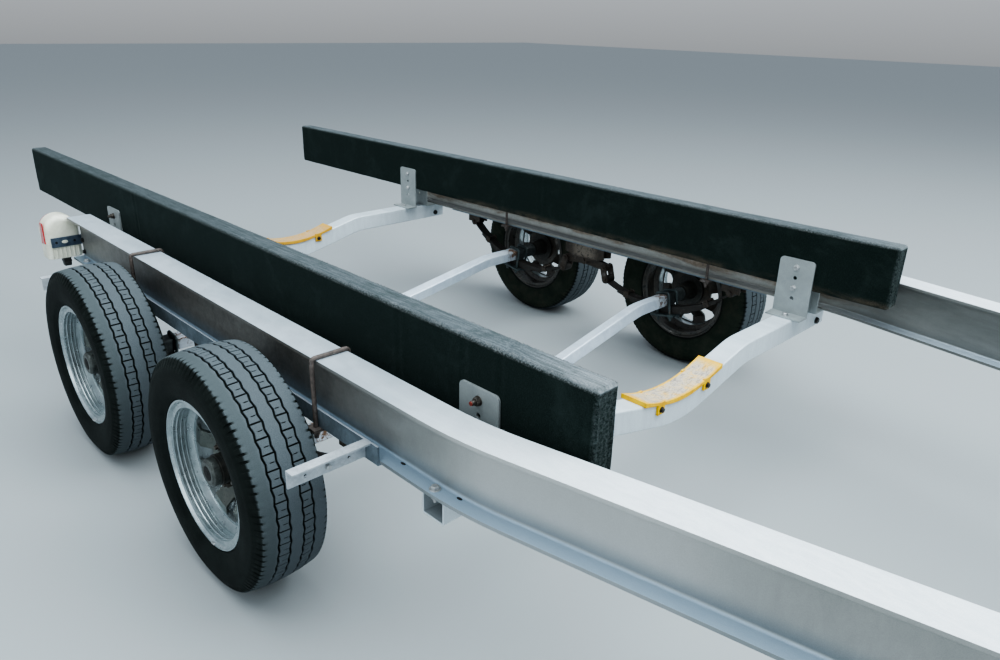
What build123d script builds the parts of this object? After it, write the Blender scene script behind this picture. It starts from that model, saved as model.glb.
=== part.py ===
from build123d import *
import math
import os

# A tandem-axle boat trailer: two aluminium I-beam rails that run parallel over
# the axles and turn in towards the tongue, carpeted bunks on bent cross-members,
# leaf springs with equalisers, four steel wheels and a swivel jack.
# Millimetres. +X points forward to the coupler, +Y to the left, +Z up. The
# origin is at ground level, in the middle of the trailer's length and width.

os.makedirs("parts", exist_ok=True)

# Main rails
rail_height = 178.0
rail_flange_width = 92.0
rail_flange_thickness = 9.0
rail_web_thickness = 7.0
rail_root_fillet = 8.0
rail_bottom = 487.0
rail_half_spacing = 922.0
rail_bend_radius = 1200.0
rail_bend_angle = 10.8

# Lengths along the trailer, measured forward from the front axle
axle_spacing = 926.0
rail_rear = -1690.0
rail_bend_start = 620.0
rail_front = 4300.0
bunk_rear = -2700.0
bunk_front = 965.0
coupler_tip = 5250.0
tongue_rear = 2860.0
member_stations = {"rear": -1600.0, "front": 640.0}
straight_member_stations = {"middle": 3000.0, "tongue": 4200.0}
winch_post_station = 3860.0
jack_station = 4740.0

# Cross-members
member_width = 75.0
member_height = 75.0
member_wall = 5.0
member_overhang = 26.0
member_corner = 6.0
member_flat_share = 0.4
member_slope = 13.4
member_bend_radius = 260.0
member_dip_radius = 450.0

# Keel pads
pad_length = 410.0
pad_width = 89.0
pad_thickness = 14.0
pad_hollow = 38.0
pad_ear_spacing = 247.0
pad_ear_width = 34.0
pad_ear_drop = 30.0
pad_ear_thickness = 7.0

# Bunks and their brackets
bunk_height = 218.0
bunk_thickness = 72.0
bunk_inset = 151.0
bunk_top = 807.0
bunk_edge_round = 12.0
bracket_width = 130.0
bracket_height = 210.0
bracket_thickness = 6.0
bracket_foot = 58.0
bracket_corner = 14.0
bracket_holes = 4
bracket_hole_pitch = 38.0
bracket_hole_radius = 7.0
bracket_top_margin = 32.0

# Sub-rails, rail U-bolts and fender brackets
angle_leg = 50.0
angle_thickness = 5.0
sub_rail_front = 470.0
u_bolt_radius = 6.0
u_bolt_bend = 10.0
u_bolt_front = 210.0
u_bolt_rear = -966.0
u_bolt_thread = 24.0
nut_radius = 10.5
nut_height = 11.0
clamp_plate_width = 40.0
clamp_plate_thickness = 8.0
clamp_plate_overhang = 18.0
fender_bracket_top = 28.0
fender_bracket_upright = 46.0
fender_bracket_length = 207.0
fender_bracket_setback = 50.0
fender_hole_radius = 4.5
fender_hole_drop = 30.0
fender_hole_shares = (0.22, 0.5, 0.78)

# Axles
axle_tube = 50.0
axle_corner = 6.0
axle_overhang = 90.0
axle_flat_share = 0.75
axle_slope = 10.8
axle_outer_radius = 420.0
axle_dip_radius = 700.0
spindle_radius = 20.0
spindle_reach = 32.0
shoulder_radius = 30.0
shoulder_length = 12.0

# Springs, tilted so that their outer eyes stand higher than their inner ones
spring_half_length = 325.0
spring_rise = 92.0
spring_tilt = 9.4
leaf_thickness = 8.0
leaf_width = 45.0
leaf_shares = (1.0, 0.78, 0.56, 0.36)
spring_pad = 6.0
eye_radius = 19.0
eye_bore = 9.0
hanger_plate = 6.0
hanger_half_length = 42.0
centre_hanger_half = 117.0
centre_hanger_drop = 52.0
equaliser_reach = 118.0
equaliser_pivot_drop = 77.0
equaliser_end_drop = 13.0
equaliser_depth = 22.0
equaliser_thickness = 20.0
shackle_thickness = 6.0
shackle_width = 32.0
pin_head = 8.0
clamp_thread = 22.0
clamp_plate_length = 118.0
running_gap = 0.3

# Wheels
wheel_offset = 196.0
wheel_radius = 332.0
tyre_width = 208.0
tyre_widest = 270.0
tread_half = 88.0
tread_edge_drop = 8.0
bead_lip_inset = 14.0
bead_lip_rise = 2.5
rim_width = 178.0
rim_wall = 5.0
rim_flange_radius = 209.0
bead_seat_radius = 190.5
flange_inside_half = 76.0
well_radius = 172.0
well_inner = -20.0
well_outer = 28.0
well_ramp = 11.0
disc_face = -2.0
disc_thickness = 6.0
disc_bore = 42.5
disc_flat_radius = 92.0
disc_crest = 30.0
disc_crest_radius = 130.0
window_count = 8
window_angle = 5.0
window_radius = 132.0
window_width = 62.0
window_length = 58.0
window_taper = 72.0
window_round = 6.0

# Hubs
hub_gap = 5.0
hub_seal_radius = 38.0
hub_flange_radius = 70.0
hub_flange_thickness = 10.0
hub_barrel_radius = 42.0
hub_barrel_end = 44.0
hub_cap_radius = 39.0
hub_cap_end = 70.0
hub_cap_round = 6.0

# Tail lights
light_offset = 68.0
light_z = 586.0
light_width = 134.0
light_height = 178.0
light_depth = 78.0
light_round = 24.0
light_bar_drop = 20.0
lens_depth = 24.0
lens_margin = 5.0
lens_rise = 55.0
light_bar_length = 170.0
light_bar_height = 40.0

# Tongue and coupler
tongue_width = 76.0
tongue_height = 102.0
tongue_wall = 6.0
coupler_length = 310.0
coupler_plate = 5.0
coupler_depth = 70.0
coupler_round = 14.0
ball_radius = 25.9
nose_radius = 43.0
socket_depth = 30.0
socket_drop = 50.0
latch_width = 26.0
latch_length = 120.0
latch_height = 34.0
latch_thickness = 8.0

# Winch post, winch and bow stop
post_width = 50.0
post_depth = 76.0
post_top = 1120.0
post_foot_length = 160.0
post_foot_width = 130.0
post_foot_thickness = 8.0
brace_width = 40.0
brace_reach = 285.0
brace_height = 440.0
roller_radius = 36.0
roller_waist = 24.0
roller_length = 130.0
roller_reach = 92.0
roller_drop = 40.0
roller_arm = 6.0
roller_arm_height = 46.0
roller_pin = 8.0
winch_base_length = 150.0
winch_base_thickness = 6.0
winch_plate = 5.0
winch_plate_height = 120.0
winch_inside = 90.0
drum_height = 66.0
drum_core = 16.0
drum_flange = 46.0
drum_flange_thickness = 4.0
crank_length = 200.0
crank_width = 24.0
crank_thickness = 8.0
crank_angle = 62.0
grip_radius = 14.0
grip_length = 96.0

# Jack
jack_offset = 92.0
jack_outer = 28.5
jack_inner = 25.0
jack_bottom = 270.0
jack_top = 800.0
jack_cap_height = 30.0
jack_cap_rim = 4.0
jack_leg_wall = 4.0
jack_leg_length = 528.0
jack_plate_length = 120.0
jack_plate_thickness = 8.0
swivel_radius = 34.0
swivel_thickness = 6.0
swivel_bite = 3.0
foot_thickness = 8.0
foot_length = 130.0
foot_width = 78.0
foot_corner = 12.0

axle_z = wheel_radius
rail_top = rail_bottom + rail_height
axle_middle = -axle_spacing / 2
origin_shift = -(coupler_tip + bunk_rear) / 2
axle_stations = {"front": 0.0, "rear": -axle_spacing}
axle_leans = {"front": spring_tilt, "rear": -spring_tilt}
sides = {"left": 1, "right": -1}
bunk_half_spacing = rail_half_spacing - bunk_inset
wheel_track_half = rail_half_spacing + wheel_offset
spring_y = rail_half_spacing


def along(station):
    """X of a place given forward of the front axle."""
    return origin_shift + station


def save(name, piece):
    piece.label = name
    export_step(piece, f"parts/{name}.step")


def mirrored(piece):
    """The same piece on the trailer's other side."""
    with BuildPart() as other:
        mirror(piece, about=Plane.XZ)
    return other.part


def both_sides(piece):
    with BuildPart() as pair:
        add(piece)
        mirror(piece, about=Plane.XZ)
    return pair.part


def rail_centre(station):
    """Half the distance between the rails' webs at a place along the trailer."""
    slope = math.radians(rail_bend_angle)
    bend_end = rail_bend_start + rail_bend_radius * math.sin(slope)
    if station <= rail_bend_start:
        return rail_half_spacing
    inward = rail_bend_radius * (1 - math.cos(slope))
    return rail_half_spacing - inward - (station - bend_end) * math.tan(slope)


def round_bar(radius, *points, bend):
    """A round bar along a line of points, with the same bend at each corner."""
    with BuildPart() as bar:
        with BuildLine() as line:
            FilletPolyline(*points, radius=bend)
        with BuildSketch(Plane(line.line @ 0, z_dir=line.line % 0)):
            Circle(radius)
        sweep(path=line.line)
    return bar.part


def dipped_tube(x, end, flat, level, slope, bend, dip, width, height, corner, wall):
    """A bent tube across the trailer: level at both ends, with a rounded dip in the middle."""
    fall = math.radians(slope)
    crown = dip * math.tan(fall)
    step = bend * math.tan(fall / 2)
    low = (-crown * math.cos(fall), level - flat * math.tan(fall) + crown * math.sin(fall))
    bend_end = (flat - step * math.cos(fall), level - step * math.sin(fall))
    with BuildPart() as tube:
        with BuildLine(Plane.YZ.offset(x)) as path:
            start = Line((-end, level), (-flat - step, level))
            first = JernArc(start @ 1, start % 1, bend, -slope)
            down = Line(first @ 1, low)
            bottom = JernArc(down @ 1, down % 1, dip, 2 * slope)
            up = Line(bottom @ 1, bend_end)
            last = JernArc(up @ 1, up % 1, bend, -slope)
            Line(last @ 1, (end, level))
        with BuildSketch(Plane(path.line @ 0, x_dir=(1, 0, 0), z_dir=path.line % 0)):
            RectangleRounded(width, height, corner)
            if wall:
                Rectangle(width - 2 * wall, height - 2 * wall, mode=Mode.SUBTRACT)
        sweep(path=path.line)
    return tube.part


# Main rails: an I section swept along a line, an arc and a line
rail_depth_between = rail_height - 2 * rail_flange_thickness
rail_flange_side = (rail_flange_width - rail_web_thickness) / 2
bend_end_station = rail_bend_start + rail_bend_radius * math.sin(math.radians(rail_bend_angle))
with BuildPart() as main_rail:
    with BuildLine(Plane.XY.offset(rail_bottom + rail_height / 2)) as rail_path:
        aft = Line((along(rail_rear), rail_half_spacing), (along(rail_bend_start), rail_half_spacing))
        bend = JernArc(aft @ 1, aft % 1, rail_bend_radius, -rail_bend_angle)
        reach = (rail_front - bend_end_station) / math.cos(math.radians(rail_bend_angle))
        Line(bend @ 1, bend @ 1 + (bend % 1) * reach)
    with BuildSketch(Plane(rail_path.line @ 0, x_dir=(0, 1, 0), z_dir=(1, 0, 0))) as rail_section:
        Rectangle(rail_flange_width, rail_height)
        for side in sides.values():
            with Locations((side * (rail_web_thickness + rail_flange_side) / 2, 0)):
                Rectangle(rail_flange_side, rail_depth_between, mode=Mode.SUBTRACT)
        roots = rail_section.vertices().filter_by_position(
            Axis.X, -rail_web_thickness, rail_web_thickness
        )
        fillet(roots, rail_root_fillet)
    sweep(path=rail_path.line)
save("main_rail_left", main_rail.part)
save("main_rail_right", mirrored(main_rail.part))

# Sub-rails: an angle under each rail whose upright leg hugs the flange's edge
flange_outer = rail_half_spacing + rail_flange_width / 2
flange_inner = rail_half_spacing - rail_flange_width / 2
sub_rail_rear = -axle_spacing - sub_rail_front
sub_rail_outer = flange_outer + angle_thickness
sub_rail_bottom = rail_bottom - angle_thickness
across_plane = Plane(origin=(along(sub_rail_rear), 0, 0), x_dir=(0, 1, 0), z_dir=(1, 0, 0))
with BuildPart() as sub_rail:
    with BuildSketch(across_plane):
        with Locations((flange_inner, sub_rail_bottom)):
            Rectangle(sub_rail_outer - flange_inner, angle_thickness, align=(Align.MIN, Align.MIN))
        with Locations((flange_outer, sub_rail_bottom)):
            Rectangle(angle_thickness, angle_leg, align=(Align.MIN, Align.MIN))
    extrude(amount=sub_rail_front - sub_rail_rear)
save("sub_rails", both_sides(sub_rail.part))

# Fender brackets: short angles that stand out from the ends of each sub-rail
fender_top = sub_rail_bottom + angle_leg
with BuildPart() as fender_bracket:
    for end, facing in ((sub_rail_front, 1), (sub_rail_rear, -1)):
        back = along(end) - facing * (fender_bracket_setback + angle_thickness)
        outward = Align.MIN if facing > 0 else Align.MAX
        with BuildSketch(Plane.XZ.offset(-sub_rail_outer)):
            with Locations((back, fender_top)):
                Rectangle(fender_bracket_top, angle_thickness, align=(outward, Align.MAX))
                Rectangle(angle_thickness, fender_bracket_upright, align=(outward, Align.MAX))
        extrude(amount=-fender_bracket_length)
        for share in fender_hole_shares:
            with BuildSketch(Plane.YZ.offset(back)):
                with Locations(
                    (sub_rail_outer + share * fender_bracket_length, fender_top - fender_hole_drop)
                ):
                    Circle(fender_hole_radius)
            extrude(amount=facing * angle_thickness, mode=Mode.SUBTRACT)
save("fender_brackets", both_sides(fender_bracket.part))

# Rail U-bolts: square bends over the top flange, a plate and nuts under the sub-rail
u_bolt_outer = sub_rail_outer + u_bolt_radius
u_bolt_inner = flange_inner - u_bolt_radius
u_bolt_top = rail_top + u_bolt_radius
plate_bottom = sub_rail_bottom - clamp_plate_thickness
thread_end = plate_bottom - u_bolt_thread
plate_length = u_bolt_outer - u_bolt_inner + 2 * clamp_plate_overhang
with BuildPart() as rail_u_bolt:
    for station in (u_bolt_front, u_bolt_rear):
        hoop = round_bar(
            u_bolt_radius,
            (along(station), u_bolt_inner, thread_end),
            (along(station), u_bolt_inner, u_bolt_top),
            (along(station), u_bolt_outer, u_bolt_top),
            (along(station), u_bolt_outer, thread_end),
            bend=u_bolt_bend,
        )
        add(hoop)
        with Locations((along(station), (u_bolt_outer + u_bolt_inner) / 2, sub_rail_bottom)):
            Box(
                clamp_plate_width,
                plate_length,
                clamp_plate_thickness,
                align=(Align.CENTER, Align.CENTER, Align.MAX),
            )
        for leg in (u_bolt_inner, u_bolt_outer):
            with BuildSketch(Plane.XY.offset(plate_bottom)):
                with Locations((along(station), leg)):
                    RegularPolygon(nut_radius, 6)
            extrude(amount=-nut_height)
save("rail_u_bolts", both_sides(rail_u_bolt.part))

# Bent cross-members: square tube, level at the ends and dipped in the middle
member_level = rail_bottom - member_height / 2
member_end = rail_half_spacing + member_overhang
member_flat = member_flat_share * rail_half_spacing


def bent_member(station, width, wall):
    return dipped_tube(
        along(station), member_end, member_flat, member_level, member_slope,
        member_bend_radius, member_dip_radius, width, member_height, member_corner, wall,
    )


for name, station in member_stations.items():
    save(f"cross_member_{name}", bent_member(station, member_width, member_wall))

# Straight cross-members under the rails ahead of the bunks
for name, station in straight_member_stations.items():
    half_length = rail_centre(station) + rail_flange_width / 2 + member_overhang
    with BuildPart() as cross_member:
        with BuildSketch(Plane.XZ.offset(half_length)):
            with Locations((along(station), member_level)):
                RectangleRounded(member_width, member_height, member_corner)
                Rectangle(
                    member_width - 2 * member_wall,
                    member_height - 2 * member_wall,
                    mode=Mode.SUBTRACT,
                )
        extrude(amount=-2 * half_length)
    save(f"cross_member_{name}", cross_member.part)

# Keel pads: yellow strips with a hollowed top, seated in the dip and held by side ears
member_turn = math.radians(member_slope)
dip_floor = (
    member_level
    - member_flat * math.tan(member_turn)
    + member_dip_radius * (1 / math.cos(member_turn) - 1)
    + member_height / 2
)
pad_low = dip_floor + pad_thickness
pad_high = pad_low + pad_hollow


def keel_pad(station):
    """The strip, cut to the top of its cross-member, and the ears on its sides."""
    with BuildPart() as pad:
        with BuildSketch(Plane.YZ.offset(along(station) - pad_width / 2)):
            with BuildLine():
                Polyline(
                    (pad_length / 2, pad_high),
                    (pad_length / 2, dip_floor - member_height / 2),
                    (-pad_length / 2, dip_floor - member_height / 2),
                    (-pad_length / 2, pad_high),
                )
                ThreePointArc((-pad_length / 2, pad_high), (0, pad_low), (pad_length / 2, pad_high))
            make_face()
        extrude(amount=pad_width)
        add(bent_member(station, 2 * pad_width, 0), mode=Mode.SUBTRACT)
        for facing in (1, -1):
            for end in (1, -1):
                foot = dip_floor + pad_hollow / 2 - pad_ear_drop
                with Locations((along(station) + facing * member_width / 2, end * pad_ear_spacing / 2, foot)):
                    Box(
                        pad_ear_thickness,
                        pad_ear_width,
                        pad_ear_drop + pad_hollow / 4,
                        align=(Align.MIN if facing > 0 else Align.MAX, Align.CENTER, Align.MIN),
                    )
    return pad.part


with BuildPart() as keel_pads:
    for station in member_stations.values():
        add(keel_pad(station))
save("keel_pads", keel_pads.part)

# Bunks: planks on edge, wrapped in carpet
bunk_length = bunk_front - bunk_rear
with BuildPart() as bunk:
    with Locations((along(bunk_rear), bunk_half_spacing, bunk_top)):
        Box(bunk_length, bunk_thickness, bunk_height, align=(Align.MIN, Align.CENTER, Align.MAX))
    fillet(bunk.edges().filter_by(Axis.X), bunk_edge_round)
save("bunk_left", bunk.part)
save("bunk_right", mirrored(bunk.part))

# Bunk brackets: an angle on each face of the bunk, standing on the cross-member
for name, station in member_stations.items():
    with BuildPart() as brackets:
        for facing in (1, -1):
            face = bunk_half_spacing + facing * bunk_thickness / 2
            with BuildSketch(Plane.XZ.offset(-face)) as plate:
                with Locations((along(station), rail_bottom)):
                    Rectangle(bracket_width, bracket_height, align=(Align.CENTER, Align.MIN))
                fillet(plate.vertices().group_by(Axis.Y)[-1], bracket_corner)
                for hole in range(bracket_holes):
                    drop = bracket_top_margin + hole * bracket_hole_pitch
                    with Locations((along(station), rail_bottom + bracket_height - drop)):
                        Circle(bracket_hole_radius, mode=Mode.SUBTRACT)
            extrude(amount=-facing * bracket_thickness)
            with Locations((along(station), face, rail_bottom)):
                Box(
                    bracket_width,
                    bracket_foot,
                    bracket_thickness,
                    align=(Align.CENTER, Align.MIN if facing > 0 else Align.MAX, Align.MIN),
                )
    save(f"bunk_brackets_{name}", both_sides(brackets.part))

# Axles: a dipped square tube with shouldered round spindles, leaned with the springs
axle_half = rail_half_spacing + axle_overhang
axle_flat = axle_flat_share * rail_half_spacing
spindle_start = axle_half + shoulder_length
spindle_end = wheel_track_half + spindle_reach
with BuildPart() as plain_axle:
    add(
        dipped_tube(
            0, axle_half, axle_flat, 0, axle_slope, axle_outer_radius,
            axle_dip_radius, axle_tube, axle_tube, axle_corner, 0,
        )
    )
    for side in sides.values():
        for radius, start, end in (
            (shoulder_radius, axle_half, spindle_start),
            (spindle_radius, spindle_start, spindle_end),
        ):
            with BuildSketch(Plane.XZ.offset(-side * start)):
                Circle(radius)
            extrude(amount=-side * (end - start))
        with Locations((0, side * spring_y, -axle_tube / 2 + axle_corner)):
            Box(
                axle_tube,
                leaf_width,
                spring_pad + axle_corner,
                align=(Align.CENTER, Align.CENTER, Align.MAX),
            )
for name, station in axle_stations.items():
    with BuildPart() as axle:
        with Locations((along(station), 0, axle_z)):
            add(plain_axle.part, rotation=(0, -axle_leans[name], 0))
    save(f"axle_{name}", axle.part)

# Leaf springs: curved leaves under the axle, eyes rolled at both ends
leaf_radius = (spring_half_length ** 2 + spring_rise ** 2) / (2 * spring_rise)
pad_edge_rise = leaf_radius - math.sqrt(leaf_radius ** 2 - (axle_tube / 2) ** 2)
seat = -axle_tube / 2 - spring_pad - pad_edge_rise
eye_height = seat + spring_rise
with BuildPart() as plain_spring:
    with BuildSketch(Plane.XZ.offset(-(spring_y - leaf_width / 2))):
        for number, share in enumerate(leaf_shares):
            inner = leaf_radius + number * leaf_thickness
            turn = math.degrees(math.asin(share * spring_half_length / leaf_radius))
            with BuildLine():
                top = CenterArc((0, seat + leaf_radius), inner, -90 - turn, 2 * turn)
                low = CenterArc((0, seat + leaf_radius), inner + leaf_thickness, -90 - turn, 2 * turn)
                Line(top @ 0, low @ 0)
                Line(top @ 1, low @ 1)
            make_face()
        with Locations((-spring_half_length, eye_height), (spring_half_length, eye_height)):
            Circle(eye_radius)
            Circle(eye_bore, mode=Mode.SUBTRACT)
    extrude(amount=-leaf_width)
for name, station in axle_stations.items():
    with BuildPart() as spring:
        with Locations((along(station), 0, axle_z)):
            add(plain_spring.part, rotation=(0, -axle_leans[name], 0))
    save(f"leaf_springs_{name}", both_sides(spring.part))

# Spring clamps: two square U-bolts over each axle's end and a plate under the leaves
pack_bottom = seat - len(leaf_shares) * leaf_thickness
clamp_x = axle_tube / 2 + u_bolt_radius + running_gap
clamp_top = axle_tube / 2 + u_bolt_radius
clamp_end = pack_bottom - clamp_plate_thickness - clamp_thread
with BuildPart() as plain_clamp:
    for row in (-1, 1):
        y = spring_y + row * (leaf_width / 2 + u_bolt_radius + running_gap)
        hoop = round_bar(
            u_bolt_radius,
            (-clamp_x, y, clamp_end),
            (-clamp_x, y, clamp_top),
            (clamp_x, y, clamp_top),
            (clamp_x, y, clamp_end),
            bend=u_bolt_bend,
        )
        add(hoop)
        for leg in (-clamp_x, clamp_x):
            with BuildSketch(Plane.XY.offset(pack_bottom - clamp_plate_thickness)):
                with Locations((leg, y)):
                    RegularPolygon(nut_radius, 6)
            extrude(amount=-nut_height)
    with Locations((0, spring_y, pack_bottom)):
        Box(
            clamp_plate_length,
            leaf_width + 2 * clamp_plate_width / 2 + nut_radius,
            clamp_plate_thickness,
            align=(Align.CENTER, Align.CENTER, Align.MAX),
        )
with BuildPart() as spring_clamps:
    for name, station in axle_stations.items():
        with Locations((along(station), 0, axle_z)):
            add(plain_clamp.part, rotation=(0, -axle_leans[name], 0))
save("spring_clamps", both_sides(spring_clamps.part))

# Hangers: forked plates under the sub-rail at the outer spring eyes and over the equaliser
tilt = math.radians(spring_tilt)
outer_eye = spring_half_length * math.cos(tilt) - eye_height * math.sin(tilt)
inner_eye = spring_half_length * math.cos(tilt) + eye_height * math.sin(tilt)
outer_eye_z = axle_z + spring_half_length * math.sin(tilt) + eye_height * math.cos(tilt)
inner_eye_z = axle_z - spring_half_length * math.sin(tilt) + eye_height * math.cos(tilt)
pivot_z = sub_rail_bottom - equaliser_pivot_drop
pin_radius = eye_bore - running_gap
fork_half = leaf_width / 2 + running_gap


def fork_pin(station, height, half_length):
    """A cross pin through a fork, spring eye or shackle."""
    with BuildPart() as pin:
        with BuildSketch(Plane.XZ.offset(-(spring_y - half_length))):
            with Locations((along(station), height)):
                Circle(pin_radius)
        extrude(amount=-2 * half_length)
    return pin.part


hanger_rows = (
    (outer_eye, outer_eye_z, hanger_half_length, sub_rail_bottom - outer_eye_z),
    (-axle_spacing - outer_eye, outer_eye_z, hanger_half_length, sub_rail_bottom - outer_eye_z),
    (axle_middle, pivot_z, centre_hanger_half, centre_hanger_drop),
)
with BuildPart() as hanger:
    for station, height, half, shoulder in hanger_rows:
        for row in (-1, 1):
            inner_face = spring_y + row * fork_half
            with BuildSketch(Plane.XZ.offset(-inner_face)):
                with BuildLine():
                    Polyline(
                        (along(station) - eye_radius, height),
                        (along(station) - half, sub_rail_bottom - shoulder),
                        (along(station) - half, sub_rail_bottom),
                        (along(station) + half, sub_rail_bottom),
                        (along(station) + half, sub_rail_bottom - shoulder),
                        (along(station) + eye_radius, height),
                    )
                    ThreePointArc(
                        (along(station) + eye_radius, height),
                        (along(station), height - eye_radius),
                        (along(station) - eye_radius, height),
                    )
                make_face()
            extrude(amount=-row * hanger_plate)
        with Locations((along(station), spring_y, sub_rail_bottom)):
            Box(2 * half, 2 * fork_half, hanger_plate, align=(Align.CENTER, Align.CENTER, Align.MAX))
        add(fork_pin(station, height, fork_half + hanger_plate + pin_head))
save("spring_hangers", both_sides(hanger.part))

# Equalisers: a rocking plate on each side and the shackles that hang the inner eyes
end_z = pivot_z - equaliser_end_drop
shackle_rise = end_z - inner_eye_z
shackle_run = axle_spacing / 2 - equaliser_reach - inner_eye
shackle_lean = math.degrees(math.atan2(shackle_run, shackle_rise))
with BuildPart() as equaliser:
    with BuildSketch(Plane.XZ.offset(-(spring_y - equaliser_thickness / 2))):
        with BuildLine():
            Polyline(
                (along(axle_middle - equaliser_reach), end_z - equaliser_depth * 0.8),
                (along(axle_middle), pivot_z - equaliser_depth),
                (along(axle_middle + equaliser_reach), end_z - equaliser_depth * 0.8),
                (along(axle_middle + equaliser_reach), end_z + equaliser_depth * 0.8),
                (along(axle_middle), pivot_z + equaliser_depth),
                (along(axle_middle - equaliser_reach), end_z + equaliser_depth * 0.8),
                close=True,
            )
        make_face()
        with Locations(
            (along(axle_middle - equaliser_reach), end_z),
            (along(axle_middle + equaliser_reach), end_z),
        ):
            Circle(equaliser_depth * 0.8)
        with Locations((along(axle_middle), pivot_z)):
            Circle(eye_bore, mode=Mode.SUBTRACT)
    extrude(amount=-equaliser_thickness)
    for end in (-1, 1):
        top_station = axle_middle + end * equaliser_reach
        low_station = top_station + end * shackle_run
        shackle_middle = (along((top_station + low_station) / 2), (end_z + inner_eye_z) / 2)
        for row in (-1, 1):
            with BuildSketch(Plane.XZ.offset(-(spring_y + row * fork_half))):
                with Locations(shackle_middle):
                    SlotCenterToCenter(
                        math.hypot(shackle_rise, shackle_run),
                        shackle_width,
                        rotation=90 + end * shackle_lean,
                    )
            extrude(amount=-row * shackle_thickness)
        add(fork_pin(top_station, end_z, fork_half + shackle_thickness + pin_head))
        add(fork_pin(low_station, inner_eye_z, fork_half + shackle_thickness + pin_head))
save("equalisers", both_sides(equaliser.part))

# Wheels: a turned tyre, a rim of barrel and dished disc with windows, and a flanged hub with a cap
flange_half = rim_width / 2
disc_join = well_radius - rim_wall + 0.5
tyre_half = tyre_width / 2
bead_half = flange_inside_half - running_gap
bead_low = bead_seat_radius + running_gap
lip_half = tyre_half - bead_lip_inset
lip_radius = rim_flange_radius + bead_lip_rise
tread_edge = wheel_radius - tread_edge_drop
for side_name, side in sides.items():
    for axle_name, station in axle_stations.items():
        wheel_centre = (along(station), side * wheel_track_half, axle_z)
        spin = Axis(wheel_centre, (0, 1, 0))
        turned = Plane(origin=wheel_centre, x_dir=(0, side, 0), z_dir=(side, 0, 0))
        with BuildPart() as tyre:
            with BuildSketch(turned):
                with BuildLine():
                    Polyline(
                        (-lip_half, lip_radius),
                        (-bead_half, rim_flange_radius + running_gap),
                        (-bead_half, bead_low),
                        (bead_half, bead_low),
                        (bead_half, rim_flange_radius + running_gap),
                        (lip_half, lip_radius),
                    )
                    ThreePointArc(
                        (lip_half, lip_radius), (tyre_half, tyre_widest), (tread_half, tread_edge)
                    )
                    ThreePointArc(
                        (tread_half, tread_edge), (0, wheel_radius), (-tread_half, tread_edge)
                    )
                    ThreePointArc(
                        (-tread_half, tread_edge), (-tyre_half, tyre_widest), (-lip_half, lip_radius)
                    )
                make_face()
            revolve(axis=spin)
        save(f"tyre_{axle_name}_{side_name}", tyre.part)

        with BuildPart() as rim:
            with BuildSketch(turned):
                with BuildLine():
                    Polyline(
                        (-flange_half, rim_flange_radius),
                        (-flange_inside_half, rim_flange_radius),
                        (-flange_inside_half, bead_seat_radius),
                        (well_inner - well_ramp, bead_seat_radius),
                        (well_inner, well_radius),
                        (well_outer, well_radius),
                        (well_outer + well_ramp, bead_seat_radius),
                        (flange_inside_half, bead_seat_radius),
                        (flange_inside_half, rim_flange_radius),
                        (flange_half, rim_flange_radius),
                        (flange_half, rim_flange_radius - rim_wall),
                        (flange_inside_half + rim_wall, rim_flange_radius - 2 * rim_wall),
                        (flange_inside_half + rim_wall, bead_seat_radius - rim_wall),
                        (well_outer + well_ramp + rim_wall / 2, bead_seat_radius - rim_wall),
                        (well_outer + rim_wall / 2, well_radius - rim_wall),
                        (well_inner - rim_wall / 2, well_radius - rim_wall),
                        (well_inner - well_ramp - rim_wall / 2, bead_seat_radius - rim_wall),
                        (-flange_inside_half - rim_wall, bead_seat_radius - rim_wall),
                        (-flange_inside_half - rim_wall, rim_flange_radius - 2 * rim_wall),
                        (-flange_half, rim_flange_radius - rim_wall),
                        close=True,
                    )
                make_face()
                with BuildLine():
                    Polyline(
                        (disc_face, disc_bore),
                        (disc_face, disc_flat_radius),
                        (disc_crest, disc_crest_radius),
                        (well_outer, disc_join),
                        (well_outer - 2 * disc_thickness, disc_join),
                        (disc_crest - disc_thickness, disc_crest_radius + disc_thickness),
                        (disc_face - disc_thickness, disc_flat_radius + disc_thickness),
                        (disc_face - disc_thickness, disc_bore),
                        close=True,
                    )
                make_face()
            revolve(axis=spin)
            window_plane = Plane(origin=wheel_centre, x_dir=(1, 0, 0), z_dir=(0, side, 0))
            with BuildSketch(window_plane) as windows:
                with PolarLocations(window_radius, window_count, start_angle=window_angle):
                    Trapezoid(window_width, window_length, window_taper, rotation=90)
                fillet(windows.vertices(), window_round)
            extrude(amount=disc_crest + disc_thickness, both=True, mode=Mode.SUBTRACT)
        save(f"rim_{axle_name}_{side_name}", rim.part)

        with BuildPart() as hub:
            with BuildSketch(turned):
                bore = spindle_radius + running_gap
                seal_face = spindle_start + hub_gap - wheel_track_half
                flange_face = disc_face - disc_thickness - running_gap
                bore_end = spindle_reach + 10 * running_gap
                with BuildLine():
                    Polyline(
                        (seal_face, bore),
                        (seal_face, hub_seal_radius),
                        (flange_face - hub_flange_thickness, hub_barrel_radius),
                        (flange_face - hub_flange_thickness, hub_flange_radius),
                        (flange_face, hub_flange_radius),
                        (flange_face, hub_barrel_radius),
                        (hub_barrel_end, hub_barrel_radius),
                        (hub_barrel_end, hub_cap_radius),
                        (hub_cap_end - hub_cap_round, hub_cap_radius),
                        (hub_cap_end, hub_cap_radius - hub_cap_round),
                        (hub_cap_end, 0),
                        (bore_end, 0),
                        (bore_end, bore),
                        close=True,
                    )
                make_face()
            revolve(axis=spin)
        save(f"hub_{axle_name}_{side_name}", hub.part)

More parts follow.
